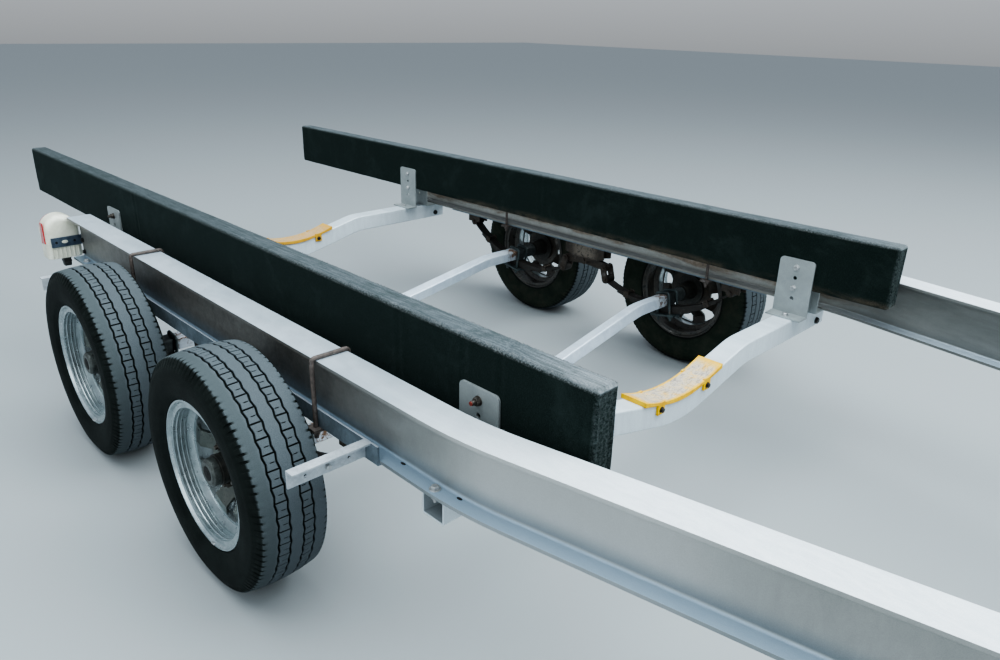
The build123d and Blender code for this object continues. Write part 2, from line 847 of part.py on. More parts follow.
# Tail lights: a bar on each rail's end, a domed housing behind it and a red lens
light_y = rail_half_spacing + light_offset
housing_front = along(rail_rear) - angle_thickness
lens_front = housing_front - light_depth
with BuildPart() as light_bar:
    with Locations((along(rail_rear), light_y - light_offset / 2, light_z - light_bar_drop)):
        Box(
            angle_thickness,
            light_bar_length,
            light_bar_height,
            align=(Align.MAX, Align.CENTER, Align.CENTER),
        )
save("tail_light_brackets", both_sides(light_bar.part))


def arched(x, margin, rise):
    """A plate on edge behind x, as the light's outline less a margin, its foot raised by a rise."""
    radius = light_width / 2 - margin
    crown = light_height / 2 - light_width / 2
    with BuildSketch(Plane(origin=(x, light_y, light_z), x_dir=(0, -1, 0), z_dir=(-1, 0, 0))) as plate:
        with Locations((0, crown)):
            Circle(radius)
            Rectangle(2 * radius, crown + light_height / 2 - rise, align=(Align.CENTER, Align.MAX))
    return plate.sketch


with BuildPart() as light_housing:
    extrude(arched(housing_front, 0, 0), amount=light_depth)
    front_edges = light_housing.faces().sort_by(Axis.X)[-1].edges()
    fillet(front_edges.sort_by(Axis.Z)[1:], light_round)
save("tail_light_housings", both_sides(light_housing.part))
with BuildPart() as light_lens:
    extrude(arched(lens_front, lens_margin, lens_rise), amount=lens_depth)
    fillet(light_lens.faces().sort_by(Axis.X)[0].edges(), lens_margin)
save("tail_light_lenses", both_sides(light_lens.part))

# Tongue: a box tube under the two straight cross-members
tongue_top = rail_bottom - member_height
tongue_z = tongue_top - tongue_height / 2
nose_centre = coupler_tip - nose_radius
tongue_front = coupler_tip - coupler_length / 2
tongue_plane = Plane(origin=(along(tongue_rear), 0, tongue_z), x_dir=(0, 1, 0), z_dir=(1, 0, 0))
with BuildPart() as tongue:
    with BuildSketch(tongue_plane):
        RectangleRounded(tongue_width, tongue_height, member_corner)
        Rectangle(
            tongue_width - 2 * tongue_wall, tongue_height - 2 * tongue_wall, mode=Mode.SUBTRACT
        )
    extrude(amount=tongue_front - tongue_rear)
save("tongue", tongue.part)

# Coupler: a cap over the tongue's end that narrows to the nose, with a ball socket and a latch
coupler_half = tongue_width / 2 + coupler_plate
coupler_rear = coupler_tip - coupler_length
socket_mouth = tongue_top - socket_drop
latch_top = tongue_top + coupler_plate + latch_height
with BuildPart() as coupler:
    with BuildSketch(Plane.XY.offset(tongue_top + coupler_plate)):
        with BuildLine():
            Polyline(
                (along(nose_centre), nose_radius),
                (along(tongue_front), coupler_half),
                (along(coupler_rear), coupler_half),
                (along(coupler_rear), -coupler_half),
                (along(tongue_front), -coupler_half),
                (along(nose_centre), -nose_radius),
            )
            ThreePointArc(
                (along(nose_centre), -nose_radius),
                (along(coupler_tip), 0),
                (along(nose_centre), nose_radius),
            )
        make_face()
    extrude(amount=-(socket_drop + coupler_plate))
    with Locations((along(coupler_rear), 0, tongue_top)):
        Box(
            tongue_front - coupler_rear,
            2 * coupler_half,
            coupler_depth,
            align=(Align.MIN, Align.CENTER, Align.MAX),
        )
        Box(
            tongue_front - coupler_rear,
            tongue_width,
            coupler_depth,
            align=(Align.MIN, Align.CENTER, Align.MAX),
            mode=Mode.SUBTRACT,
        )
    fillet(coupler.faces().sort_by(Axis.Z)[-1].edges().filter_by(GeomType.CIRCLE), coupler_plate)
    with Locations((along(nose_centre), 0, socket_mouth)):
        Cylinder(
            ball_radius,
            socket_depth,
            align=(Align.CENTER, Align.CENTER, Align.MIN),
            mode=Mode.SUBTRACT,
        )
    with BuildSketch(Plane.XZ.offset(latch_width / 2)):
        with BuildLine():
            Polyline(
                (along(nose_centre), tongue_top + coupler_plate),
                (along(nose_centre), latch_top - latch_height / 2),
                (along(nose_centre) - latch_length / 3, latch_top - latch_height / 2),
                (along(nose_centre) - latch_length, latch_top),
                (along(nose_centre) - latch_length, latch_top - latch_thickness),
                (along(nose_centre) - latch_length / 2, tongue_top + coupler_plate),
                close=True,
            )
        make_face()
    extrude(amount=-latch_width)
save("coupler", coupler.part)

# Winch post: a box upright with a foot plate and a forward brace
post_x = along(winch_post_station)
with BuildPart() as winch_post:
    with Locations((post_x, 0, tongue_top)):
        Box(
            post_foot_length,
            post_foot_width,
            post_foot_thickness,
            align=(Align.CENTER, Align.CENTER, Align.MIN),
        )
        Box(
            post_depth,
            post_width,
            post_top - tongue_top,
            align=(Align.CENTER, Align.CENTER, Align.MIN),
        )
    with BuildSketch(Plane.XZ.offset(brace_width / 2)):
        with BuildLine():
            Polyline(
                (post_x, tongue_top + brace_height),
                (post_x, tongue_top + brace_height - 1.5 * brace_width),
                (post_x + brace_reach - brace_width, tongue_top),
                (post_x + brace_reach, tongue_top),
                (post_x + brace_reach, tongue_top + post_foot_thickness),
                close=True,
            )
        make_face()
    extrude(amount=-brace_width)
save("winch_post", winch_post.part)

# Bow stop: two arms and a waisted rubber roller behind the post
roller_x = post_x - post_depth / 2 - roller_reach
roller_z = post_top - roller_drop
arm_y = roller_length / 2 + running_gap
with BuildPart() as bow_stop:
    with BuildSketch(Plane(origin=(roller_x, 0, roller_z), x_dir=(0, 1, 0), z_dir=(1, 0, 0))):
        with BuildLine():
            Polyline(
                (-roller_length / 2, roller_radius),
                (-roller_length / 2, roller_pin),
                (roller_length / 2, roller_pin),
                (roller_length / 2, roller_radius),
            )
            ThreePointArc(
                (-roller_length / 2, roller_radius), (0, roller_waist), (roller_length / 2, roller_radius)
            )
        make_face()
    revolve(axis=Axis((roller_x, 0, roller_z), (0, 1, 0)))
save("bow_stop", bow_stop.part)
with BuildPart() as bow_stop_bracket:
    for side in sides.values():
        with BuildSketch(Plane.XZ.offset(-side * arm_y)):
            with Locations(((post_x - post_depth / 2 + roller_x) / 2, roller_z)):
                SlotCenterToCenter(post_x - post_depth / 2 - roller_x, roller_arm_height)
        extrude(amount=-side * roller_arm)
    with Locations((post_x - post_depth / 2, 0, roller_z)):
        Box(
            roller_arm,
            2 * (arm_y + roller_arm),
            roller_arm_height,
            align=(Align.MAX, Align.CENTER, Align.CENTER),
        )
    with BuildSketch(Plane.XZ.offset(arm_y + roller_arm + pin_head)):
        with Locations((roller_x, roller_z)):
            Circle(roller_pin - running_gap)
    extrude(amount=-2 * (arm_y + roller_arm + pin_head))
    with Locations((post_x, 0, roller_z)):
        Box(
            post_depth,
            2 * (arm_y + roller_arm),
            roller_arm_height,
            align=(Align.CENTER, Align.CENTER, Align.CENTER),
            mode=Mode.SUBTRACT,
        )
save("bow_stop_bracket", bow_stop_bracket.part)

# Winch: a frame of two plates on the post, a drum with its shaft, and a crank
winch_z = post_top + winch_base_thickness
drum_z = winch_z + drum_height
plate_y = winch_inside / 2
shaft_radius = drum_core / 2
with BuildPart() as winch_frame:
    with Locations((post_x, 0, post_top)):
        Box(
            winch_base_length,
            winch_inside + 2 * winch_plate,
            winch_base_thickness,
            align=(Align.CENTER, Align.CENTER, Align.MIN),
        )
    for side in sides.values():
        with BuildSketch(Plane.XZ.offset(-side * plate_y)):
            with BuildLine():
                Polyline(
                    (post_x - winch_base_length / 2, post_top),
                    (post_x + winch_base_length / 2, post_top),
                    (post_x + winch_base_length / 3, winch_z + winch_plate_height),
                    (post_x - winch_base_length / 3, winch_z + winch_plate_height),
                    close=True,
                )
            make_face()
            with Locations((post_x, drum_z)):
                Circle(shaft_radius + running_gap, mode=Mode.SUBTRACT)
        extrude(amount=-side * winch_plate)
save("winch_frame", winch_frame.part)
crank_y = plate_y + winch_plate + pin_head
crank_turn = math.radians(crank_angle)
crank_tip = (post_x + crank_length * math.cos(crank_turn), drum_z - crank_length * math.sin(crank_turn))
with BuildPart() as winch_drum:
    with BuildSketch(Plane.XZ.offset(plate_y - running_gap)):
        with Locations((post_x, drum_z)):
            Circle(drum_core)
    extrude(amount=-2 * (plate_y - running_gap))
    for side in sides.values():
        with BuildSketch(Plane.XZ.offset(-side * (plate_y - running_gap))):
            with Locations((post_x, drum_z)):
                Circle(drum_flange)
        extrude(amount=side * drum_flange_thickness)
    with BuildSketch(Plane.XZ.offset(crank_y)):
        with Locations((post_x, drum_z)):
            Circle(shaft_radius)
    extrude(amount=-2 * crank_y)
    with BuildSketch(Plane.XZ.offset(-crank_y)):
        with Locations(((post_x + crank_tip[0]) / 2, (drum_z + crank_tip[1]) / 2)):
            SlotCenterToCenter(crank_length, crank_width, rotation=-crank_angle)
    extrude(amount=-crank_thickness)
    with BuildSketch(Plane.XZ.offset(-(crank_y + crank_thickness))):
        with Locations(crank_tip):
            Circle(grip_radius)
    extrude(amount=-grip_length)
save("winch_drum", winch_drum.part)

# Swivel jack on the tongue's left side
jack_leg_radius = jack_inner - running_gap
swivel_start = tongue_width / 2 + jack_plate_thickness
swivel_face = swivel_start + swivel_thickness + running_gap
swivel_reach = jack_offset - jack_outer - swivel_face + swivel_bite
crank_start = jack_top + jack_cap_height / 2
with BuildPart() as jack_mount:
    with Locations((along(jack_station), tongue_width / 2, tongue_z)):
        Box(
            jack_plate_length,
            jack_plate_thickness,
            tongue_height,
            align=(Align.CENTER, Align.MIN, Align.CENTER),
        )
    with BuildSketch(Plane.XZ.offset(-swivel_start)):
        with Locations((along(jack_station), tongue_z)):
            Circle(swivel_radius)
    extrude(amount=-swivel_thickness)
save("jack_mount", jack_mount.part)
with BuildPart() as jack_tube:
    with BuildSketch(Plane.XY.offset(jack_bottom)):
        with Locations((along(jack_station), jack_offset)):
            Circle(jack_outer)
            Circle(jack_inner, mode=Mode.SUBTRACT)
    extrude(amount=jack_top - jack_bottom)
    with BuildSketch(Plane.XY.offset(jack_top)):
        with Locations((along(jack_station), jack_offset)):
            Circle(jack_outer + jack_cap_rim)
    extrude(amount=jack_cap_height)
    with BuildSketch(Plane.XZ.offset(-swivel_face)):
        with Locations((along(jack_station), tongue_z)):
            Circle(swivel_radius)
    extrude(amount=-swivel_reach)
    with BuildSketch(Plane.XZ.offset(-jack_offset)):
        with Locations((along(jack_station), crank_start)):
            Circle(shaft_radius)
    extrude(amount=-(jack_outer + crank_width))
    with Locations((along(jack_station), jack_offset + jack_outer + crank_width, crank_start)):
        Box(
            crank_width,
            crank_thickness,
            crank_length / 2,
            align=(Align.CENTER, Align.CENTER, Align.MAX),
        )
    with BuildSketch(Plane.XZ.offset(-(jack_offset + jack_outer + crank_width))):
        with Locations((along(jack_station), crank_start - crank_length / 2 + crank_width / 2)):
            Circle(grip_radius)
    extrude(amount=-grip_length)
save("jack_tube", jack_tube.part)
with BuildPart() as jack_leg:
    with BuildSketch(Plane.XY):
        with Locations((along(jack_station), jack_offset)):
            RectangleRounded(foot_length, foot_width, foot_corner)
    extrude(amount=foot_thickness)
    with BuildSketch(Plane.XY.offset(foot_thickness)):
        with Locations((along(jack_station), jack_offset)):
            Circle(jack_leg_radius)
            Circle(jack_leg_radius - jack_leg_wall, mode=Mode.SUBTRACT)
    extrude(amount=jack_leg_length - foot_thickness)
save("jack_leg", jack_leg.part)
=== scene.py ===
import random
from itertools import product
from math import asin, copysign, cos, exp, pi, radians, sin, sqrt, tan, tau

import bmesh
import bpy
from mathutils import Matrix, Vector, noise


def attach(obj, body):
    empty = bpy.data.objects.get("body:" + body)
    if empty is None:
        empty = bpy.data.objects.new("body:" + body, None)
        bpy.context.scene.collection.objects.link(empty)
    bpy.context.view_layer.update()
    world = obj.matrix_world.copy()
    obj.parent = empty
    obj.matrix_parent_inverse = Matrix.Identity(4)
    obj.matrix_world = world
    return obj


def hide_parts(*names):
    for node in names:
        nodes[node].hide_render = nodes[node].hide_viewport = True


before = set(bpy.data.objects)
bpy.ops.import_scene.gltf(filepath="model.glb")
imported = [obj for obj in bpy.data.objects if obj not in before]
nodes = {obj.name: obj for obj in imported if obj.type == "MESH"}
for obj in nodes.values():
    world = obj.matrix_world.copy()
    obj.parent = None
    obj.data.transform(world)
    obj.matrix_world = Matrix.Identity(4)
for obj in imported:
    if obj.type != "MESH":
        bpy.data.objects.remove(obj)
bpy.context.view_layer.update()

dice = random.Random(11)
SIDES = {"left": 1, "right": -1}
BOTH = (1, -1)
LOOKS = {}

# Places from the CAD, in metres; stations run forward from the front axle.
# Sizes of small turned and bent parts are in millimetres.
MM = 0.001
SHIFT = -1.275
RAIL_Y = 0.922
RAIL_BOTTOM = 0.487
BEND_START = 0.62
BEND_RADIUS = 1.2
BEND_ANGLE = radians(10.8)
TRACK = 1.118
AXLE_Z = 0.332
AXLES = {"front": 0.0, "rear": -0.926}
AXLE_MIDDLE = -0.463
MEMBERS = {"rear": -1.6, "front": 0.64}
MIDDLE_MEMBER = 3.0
TONGUE_MEMBER = 4.2
MEMBER_STATIONS = (*MEMBERS.values(), MIDDLE_MEMBER, TONGUE_MEMBER)
BUNK_Y = 0.771
BUNK_TOP = 0.807
BUNK_HALF = 0.036
BUNK_RISE = 0.109
BUNK_REAR = -2.7
BUNK_FRONT = 0.965
LAMP_FACE = -1.695
BRACKET_HOLE_Y = 1.0765
BRACKET_HOLE_Z = 0.502
TONGUE_TOP = 0.412
TONGUE_BOTTOM = 0.310
POST = 3.86
WINCH_Z = 1.192
JACK = 4.74
JACK_Y = 0.092

# Camera, solved from the photograph: place in metres, turns in degrees and focal length
CAMERA_PLACE = (0.488, -1.864, 1.459)
CAMERA_YAW = 45.24
CAMERA_PITCH = 22.01
CAMERA_ROLL = 1.413
SENSOR = 36
FOCAL_PIXELS = 767.1
IMAGE_WIDTH = 1000


def make_camera():
    camera = bpy.data.objects.new("camera", bpy.data.cameras.new("camera"))
    bpy.context.scene.collection.objects.link(camera)
    camera.data.sensor_width = SENSOR
    camera.data.lens = SENSOR * FOCAL_PIXELS / IMAGE_WIDTH
    turn = Matrix.Translation(CAMERA_PLACE)
    for degrees, axis in ((CAMERA_YAW, "Z"), (90 - CAMERA_PITCH, "X"), (CAMERA_ROLL, "Z")):
        turn = turn @ Matrix.Rotation(radians(degrees), 4, axis)
    camera.matrix_world = turn
    bpy.context.scene.camera = camera


make_camera()


def at(station, y, z):
    """A point given by its place forward of the front axle."""
    return Vector((SHIFT + station, y, z))


def held(value, low, high):
    return max(low, min(high, value))


def hump(offset, width):
    """A smooth hill, 1 high in its middle."""
    return exp(-(offset / width) ** 2)


# Materials


class Nodes:
    """A node tree whose nodes are made, fed and linked by short calls."""

    def __init__(self, tree):
        self.tree = tree

    def feed(self, socket, value):
        if isinstance(value, bpy.types.NodeSocket):
            self.tree.links.new(value, socket)
        elif isinstance(value, tuple) and len(value) == 3 and socket.type == "RGBA":
            socket.default_value = (*value, 1)
        else:
            socket.default_value = value

    def make(self, kind, inputs=None, output=0, **settings):
        """A new node with its inputs fed, handed over as one of its outputs."""
        made = self.tree.nodes.new("ShaderNode" + kind)
        for key, value in settings.items():
            setattr(made, key, value)
        for key, value in (inputs or {}).items():
            self.feed(made.inputs[key], value)
        return made.outputs[output]

    def math(self, operation, *values):
        """One operation on one value or two, or on more in turn."""
        made = self.make("Math", dict(enumerate(values[:2])), operation=operation)
        return self.math(operation, made, *values[2:]) if len(values) > 2 else made

    def times(self, *values):
        return self.math("MULTIPLY", *values)

    def plus(self, first, second):
        return self.math("ADD", first, second)

    def away(self, value, centre=0):
        """How far a value lies from a centre, on either side."""
        return self.math("ABSOLUTE", self.plus(value, -centre))

    def ramp(self, value, *stops):
        """Colours or greys, each from its own place on."""
        made = self.make("ValToRGB", {0: value})
        bar = made.node.color_ramp.elements
        while len(bar) < len(stops):
            bar.new(0.5)
        for element, (place, colour) in zip(bar, stops):
            element.position = place
            element.color = (*(colour if isinstance(colour, tuple) else [colour] * 3), 1)
        return made

    def fade(self, value, first, last, low=0.3, high=0.7):
        return self.ramp(value, (low, first), (high, last))


class Surface(Nodes):
    """One procedural material, kept under its name; x runs forward from the front axle."""

    def __init__(self, name, round_edges=0):
        material = LOOKS[name] = bpy.data.materials.new(name)
        material.use_nodes = True
        super().__init__(material.node_tree)
        self.shader = self.tree.nodes["Principled BSDF"].inputs
        self.place = self.make("TexCoord", output="Object")
        self.x, self.y, self.z = (self.make("SeparateXYZ", {0: self.place}, axis) for axis in "XYZ")
        self.x = self.plus(self.x, -SHIFT)
        self.normal = None
        if round_edges:
            self.set_normal(self.make("Bevel", {"Radius": round_edges}, samples=4))

    def set_normal(self, normal):
        self.normal = normal
        self.feed(self.shader["Normal"], normal)

    def shade(self, colour, rough, metal=0, others=None):
        """Feed the shader itself."""
        for name, value in {"Base Color": colour, "Roughness": rough, "Metallic": metal, **(others or {})}.items():
            self.feed(self.shader[name], value)

    def noise(self, scale, detail=4, rough=0.6, twist=0, stretch=None):
        place = self.make("Mapping", {"Vector": self.place, "Scale": stretch}) if stretch else self.place
        return self.make("TexNoise", {
            "Vector": place, "Scale": scale, "Detail": detail, "Roughness": rough, "Distortion": twist,
        })

    def cells(self, scale, output="Distance"):
        return self.make("TexVoronoi", {"Vector": self.place, "Scale": scale}, output)

    def band(self, value, low, high, start=0, end=1):
        """Start below low and end above high, with a smooth step between."""
        return self.make("MapRange", {
            "Value": value, "From Min": low, "From Max": high, "To Min": start, "To Max": end,
        }, interpolation_type="SMOOTHSTEP")

    def mix(self, share, first, second, blend="MIX"):
        return self.make("Mix", {0: share, 6: first, 7: second}, 2, data_type="RGBA", blend_type=blend)

    def paint(self, colour, *coats):
        """Lay colours over each other, each coat as (share, colour)."""
        for share, coat in coats:
            colour = self.mix(share, colour, coat)
        return colour

    def darkened(self, share, colour, value, *greys):
        return self.mix(share, colour, self.fade(value, *greys), "MULTIPLY")

    def faces(self, axis):
        """One part of the way that the surface faces."""
        return self.make("SeparateXYZ", {0: self.make("NewGeometry", output="Normal")}, axis)

    def painted(self, name):
        return self.make("Attribute", output="Fac", attribute_name=name)

    def bump(self, height, distance, strength):
        inputs = {"Strength": strength, "Distance": distance, "Height": height}
        if self.normal:
            inputs["Normal"] = self.normal
        self.set_normal(self.make("Bump", inputs))


def scaled(colour, factor):
    return tuple(min(1, factor * part) for part in colour)


def make_aluminium(name, web, grime_and_shade=None):
    """Mill aluminium, speckled, with a pale bluish painted sky reflection on upward faces and greyer upright faces;
    with a grime and shade colour, the rails' own dirt and painted light and shade.
    """
    s = Surface(name, 0.0012)
    grain = s.noise(520, 3, 0.7)
    drift = s.noise(5, 5, 0.62, 0.4, (0.5, 2.2, 1.4))
    # Painted highlight: the pale bluish top colour stands for the sky's reflection on upward faces.
    top = s.ramp(drift, (0.3, (0.48, 0.555, 0.61)), (0.55, (0.6, 0.675, 0.73)), (0.8, (0.72, 0.79, 0.84)))
    side = s.fade(s.noise(24, 5, 0.7, 0.3, (1, 2, 0.4)), web, scaled(web, 0.84), 0.3, 0.75)
    upward = s.band(s.faces("Z"), 0.35, 0.8)
    shine = 0.12
    if grime_and_shade:
        side, top, bright = rails_dirt_and_light(s, side, top, grime_and_shade)
        shine = s.plus(0.5, s.times(upward, bright, -0.4))
    else:
        side, top = shade_bores(s, side, top)
    s.shade(
        s.darkened(0.27, s.mix(upward, side, top), grain, 0.45, 1),
        s.fade(s.noise(22, 5, 0.7), 0.36, 0.54, 0.3, 0.8), shine,
    )
    s.bump(grain, 0.00025, 0.55)


def rails_dirt_and_light(s, side, top, grime_and_shade):
    """Grime with painted shade over the wheels, rust stains and painted light on the far rail, painted shade at the
    near web's root and on the flange tops, a darker far foot, and a painted highlight ahead of the bend.
    """
    near, far = s.band(s.y, 0.2, 0.3, 1, 0), s.band(s.y, 0.3, 0.5)
    far_aft = s.times(far, s.band(s.x, 0.55, 1.3, 1, 0))
    above = s.plus(s.z, -RAIL_BOTTOM)
    # Over the wheels the web gets the grime colour in specks: dirt, and painted shade on the web.
    over_wheels = s.times(s.band(s.x, -0.05, 0.72, 1, 0), s.band(s.x, -1.62, -1.15, 0.7, 1), 0.94)
    ragged = s.band(s.noise(9, 5, 0.7), 0.12, 0.5, 0.76, 1)
    speck = s.fade(s.noise(60, 6, 0.75), grime_and_shade, scaled(grime_and_shade, 2))
    # Pale grey on the far web aft: dust, and painted light that lightens the shadow under the far bunk.
    soil_and_light = s.fade(s.noise(30, 6, 0.72, 0.3), (0.54, 0.54, 0.51), (0.72, 0.72, 0.69))
    smear = s.noise(9, 6, 0.68, 0.4, (0.3, 1, 1.6))
    stain = s.band(s.plus(s.z, s.times(smear, 0.11)), 0.568, 0.59)
    rust = s.ramp(
        s.noise(42, 6, 0.72), (0.3, (0.12, 0.085, 0.058)), (0.55, (0.3, 0.215, 0.15)), (0.75, (0.52, 0.45, 0.38)),
    )
    # Darker towards the foot of the far web, on its side and top.
    foot_tone = s.fade(smear, (0.055, 0.05, 0.044), (0.17, 0.155, 0.135))
    foot = (s.times(far, s.band(above, 0.009, 0.022, 0.7, 0)), foot_tone)
    # Painted highlight: a pale patch on the near web where it bends.
    bend_highlight = s.times(s.band(s.x, 0.62, 0.8), s.band(s.x, 1.12, 1.42, 1, 0))
    # Darker far web ahead of the bunk: weathering, and partly painted shade.
    dull_and_shade = s.fade(smear, (0.112, 0.122, 0.119), (0.205, 0.215, 0.21), 0.35)
    side = s.paint(
        side, (s.times(over_wheels, ragged), speck), (s.times(far_aft, 0.85), soil_and_light),
        (s.times(stain, far_aft, 0.85), rust), foot, (s.times(bend_highlight, near, 0.55), (0.66, 0.67, 0.665)),
        # Painted shade: bluish grey darkening the near web toward its root.
        (s.times(s.band(above, 0.008, 0.06, 0.55, 0), near), (0.16, 0.21, 0.245)),
        (s.times(far, s.band(s.x, 0.55, 0.95, 0, 0.8)), dull_and_shade),
    )
    # Painted highlight: a mottled near-white sheen on the tops ahead of the bend, for the sky's reflection.
    bright = s.band(s.x, 0.3, 1.2)
    mottle = s.band(s.noise(38, 7, 0.78, 0.3, (0.6, 2, 1)), 0.34, 0.66, 0.58, 0.95)
    shaded = s.math(
        "MAXIMUM", s.times(s.band(above, 0.022, 0.06, 0.8, 0), s.band(s.y, 0.2, 0.3, 1, 0.62)),
        s.band(s.away(above, 0.012), 0.004, 0.01, 0.62, 0),
    )
    top = s.paint(
        top, foot, (s.times(bright, mottle), (0.9, 0.955, 1)),
        (shaded, s.mix(far_aft, (0.165, 0.265, 0.365), (0.19, 0.18, 0.16))),
        (s.band(s.x, -0.3, 1.6, 0.22, 0), (0.36, 0.41, 0.48)),
    )
    return side, top, bright


def shade_bores(s, side, top):
    """Painted shade: near-black inside the cross-members' open ends."""
    reach = s.math("MINIMUM", *(s.away(s.x, station) for station in MEMBER_STATIONS))
    inside = s.times(s.band(s.z, 0.4166, 0.4172), s.band(s.z, 0.4818, 0.4824, 1, 0))
    ends = s.math("MAXIMUM", s.band(s.away(s.y), 0.8, 0.81), s.band(s.x, 2.075, 2.175))
    bore_shade = s.times(s.band(reach, 0.0322, 0.0328, 1, 0), inside, ends, 0.85)
    return s.mix(bore_shade, side, (0.035, 0.042, 0.04)), s.mix(bore_shade, top, (0.05, 0.058, 0.056))


def make_galvanised(name, light, dark, rust, rust_low, shine=0.7, grain=150, top=None):
    """Hot-dip zinc: crystal spangle, pale patches, rust and, where asked, a paler upper face of painted light."""
    s = Surface(name, 0.001)
    spangle = s.make("RGBToBW", {0: s.cells(grain, "Color")})
    colour = s.darkened(0.3, s.fade(s.noise(16, 5, 0.65, 0.5), dark, light, 0.32), spangle, 0.55, 1, 0.2, 0.8)
    if top:
        # Painted light: the upper face paler than the sides, as lit from above.
        colour = s.mix(s.band(s.faces("Z"), 0.5, 0.85), colour, top)
    patch = s.band(s.noise(28, 7, 0.72, 0.3), rust_low, rust_low + 0.12, 0, rust)
    colour = s.mix(patch, colour, s.fade(s.noise(140, 5, 0.7), (0.085, 0.036, 0.016), (0.27, 0.125, 0.05)))
    s.shade(colour, s.fade(s.noise(60), 0.34, 0.56, 0.3, 0.75), shine)
    s.bump(s.noise(260, 3), 0.0004, 0.5)


def make_rim_zinc():
    """Galvanised wheel: bluish zinc outside, a disc darkened by painted shade, and dark road dirt with painted shade
    on the inboard side and inside the barrel.
    """
    s = Surface("rim_zinc", 0.001)
    fore, rise = s.plus(s.away(s.x, AXLE_MIDDLE), AXLE_MIDDLE), s.plus(s.z, -AXLE_Z)
    reach = s.math("SQRT", s.plus(s.times(fore, fore), s.times(rise, rise)))
    # Painted shade: the disc, sunk behind the barrel, is much darker than the barrel.
    shaded_disc = s.fade(s.noise(30, 6, 0.7), (0.056, 0.064, 0.054), (0.122, 0.128, 0.11))
    colour = s.mix(
        s.band(reach, 0.15, 0.163, 0.9, 0),
        s.fade(s.noise(16, 5, 0.65, 0.5), (0.27, 0.325, 0.345), (0.52, 0.58, 0.6), 0.3, 0.72), shaded_disc,
    )
    colour = s.darkened(0.5, colour, s.cells(230), 0.72, 1, 0)
    # Inboard faces and the deep barrel: road dirt, and painted shade that darkens them toward black.
    inboard = s.times(s.faces("Y"), s.math("SIGN", s.y))
    deep = s.band(s.away(s.y), TRACK - 0.022, TRACK - 0.008, 1, 0)
    dirt_and_shade_share = s.math("MAXIMUM", deep, s.band(inboard, -0.5, -0.2, 1, 0))
    dirt = s.ramp(
        s.noise(34, 6, 0.72, 0.4), (0.3, (0.01, 0.01, 0.009)), (0.6, (0.045, 0.034, 0.025)), (0.8, (0.11, 0.1, 0.09)),
    )
    s.shade(
        s.mix(s.times(dirt_and_shade_share, 0.95), colour, dirt), s.fade(s.noise(48), 0.24, 0.42, 0.3, 0.75),
        s.plus(0.8, s.times(dirt_and_shade_share, -0.6)),
    )
    s.bump(s.noise(230, 3), 0.0004, 0.5)


def make_axle_steel():
    """Zinc in the middle, flaking to rust and dark scale by the springs and the spindles."""
    s = Surface("axle_steel", 0.001)
    away = s.away(s.y)
    zinc = s.fade(s.noise(14, 5, 0.65, 0.4), (0.55, 0.64, 0.75), (0.79, 0.88, 0.97))
    brown = s.ramp(
        s.noise(70, 6, 0.75), (0.32, (0.06, 0.034, 0.022)), (0.62, (0.25, 0.135, 0.07)), (0.8, (0.42, 0.38, 0.34)),
    )
    ragged = s.plus(away, s.times(s.noise(26, 7, 0.75), 0.14))
    flaked = s.math("MAXIMUM", s.band(s.noise(34, 6, 0.75, 0.3), 0.46, 0.56), 0.25)
    scale = s.fade(s.noise(45, 6, 0.7), (0.018, 0.022, 0.023), (0.07, 0.08, 0.08))
    colour = s.paint(
        s.darkened(0.25, zinc, s.noise(420, 3, 0.7), 0.5, 1),
        (s.times(s.band(ragged, 0.875, 0.92), flaked), brown), (s.band(away, 0.87, 0.895), scale),
    )
    s.shade(colour, s.band(away, 0.83, 0.92, 0.42, 0.62), s.band(away, 0.83, 0.93, 0.4, 0.25))
    s.bump(s.noise(150, 5, 0.7), 0.0008, 0.6)


def make_rust(name, dark, light, shine, ashen, middle=None):
    """Rust-stained steel; with middle, the plates half-way between the axles are paler and brown."""
    s = Surface(name, 0.0008)
    flake = s.noise(90, 7, 0.74, 0.4)
    colour = s.ramp(flake, (0.3, dark), (0.56, light), (0.74, scaled(light, 1.5)))
    colour = s.mix(s.band(s.noise(24, 5, 0.7), 0.56, 0.74, 0, ashen), colour, (0.25, 0.24, 0.235))
    if middle:
        close = s.band(s.away(s.x, AXLE_MIDDLE), 0.03, 0.095, 0.85, 0)
        colour = s.mix(s.times(close, s.band(flake, 0.36, 0.52), s.band(s.z, 0.415, 0.43)), colour, middle)
    s.shade(colour, s.fade(flake, 0.5, 0.85), shine)
    s.bump(flake, 0.0009, 0.8)


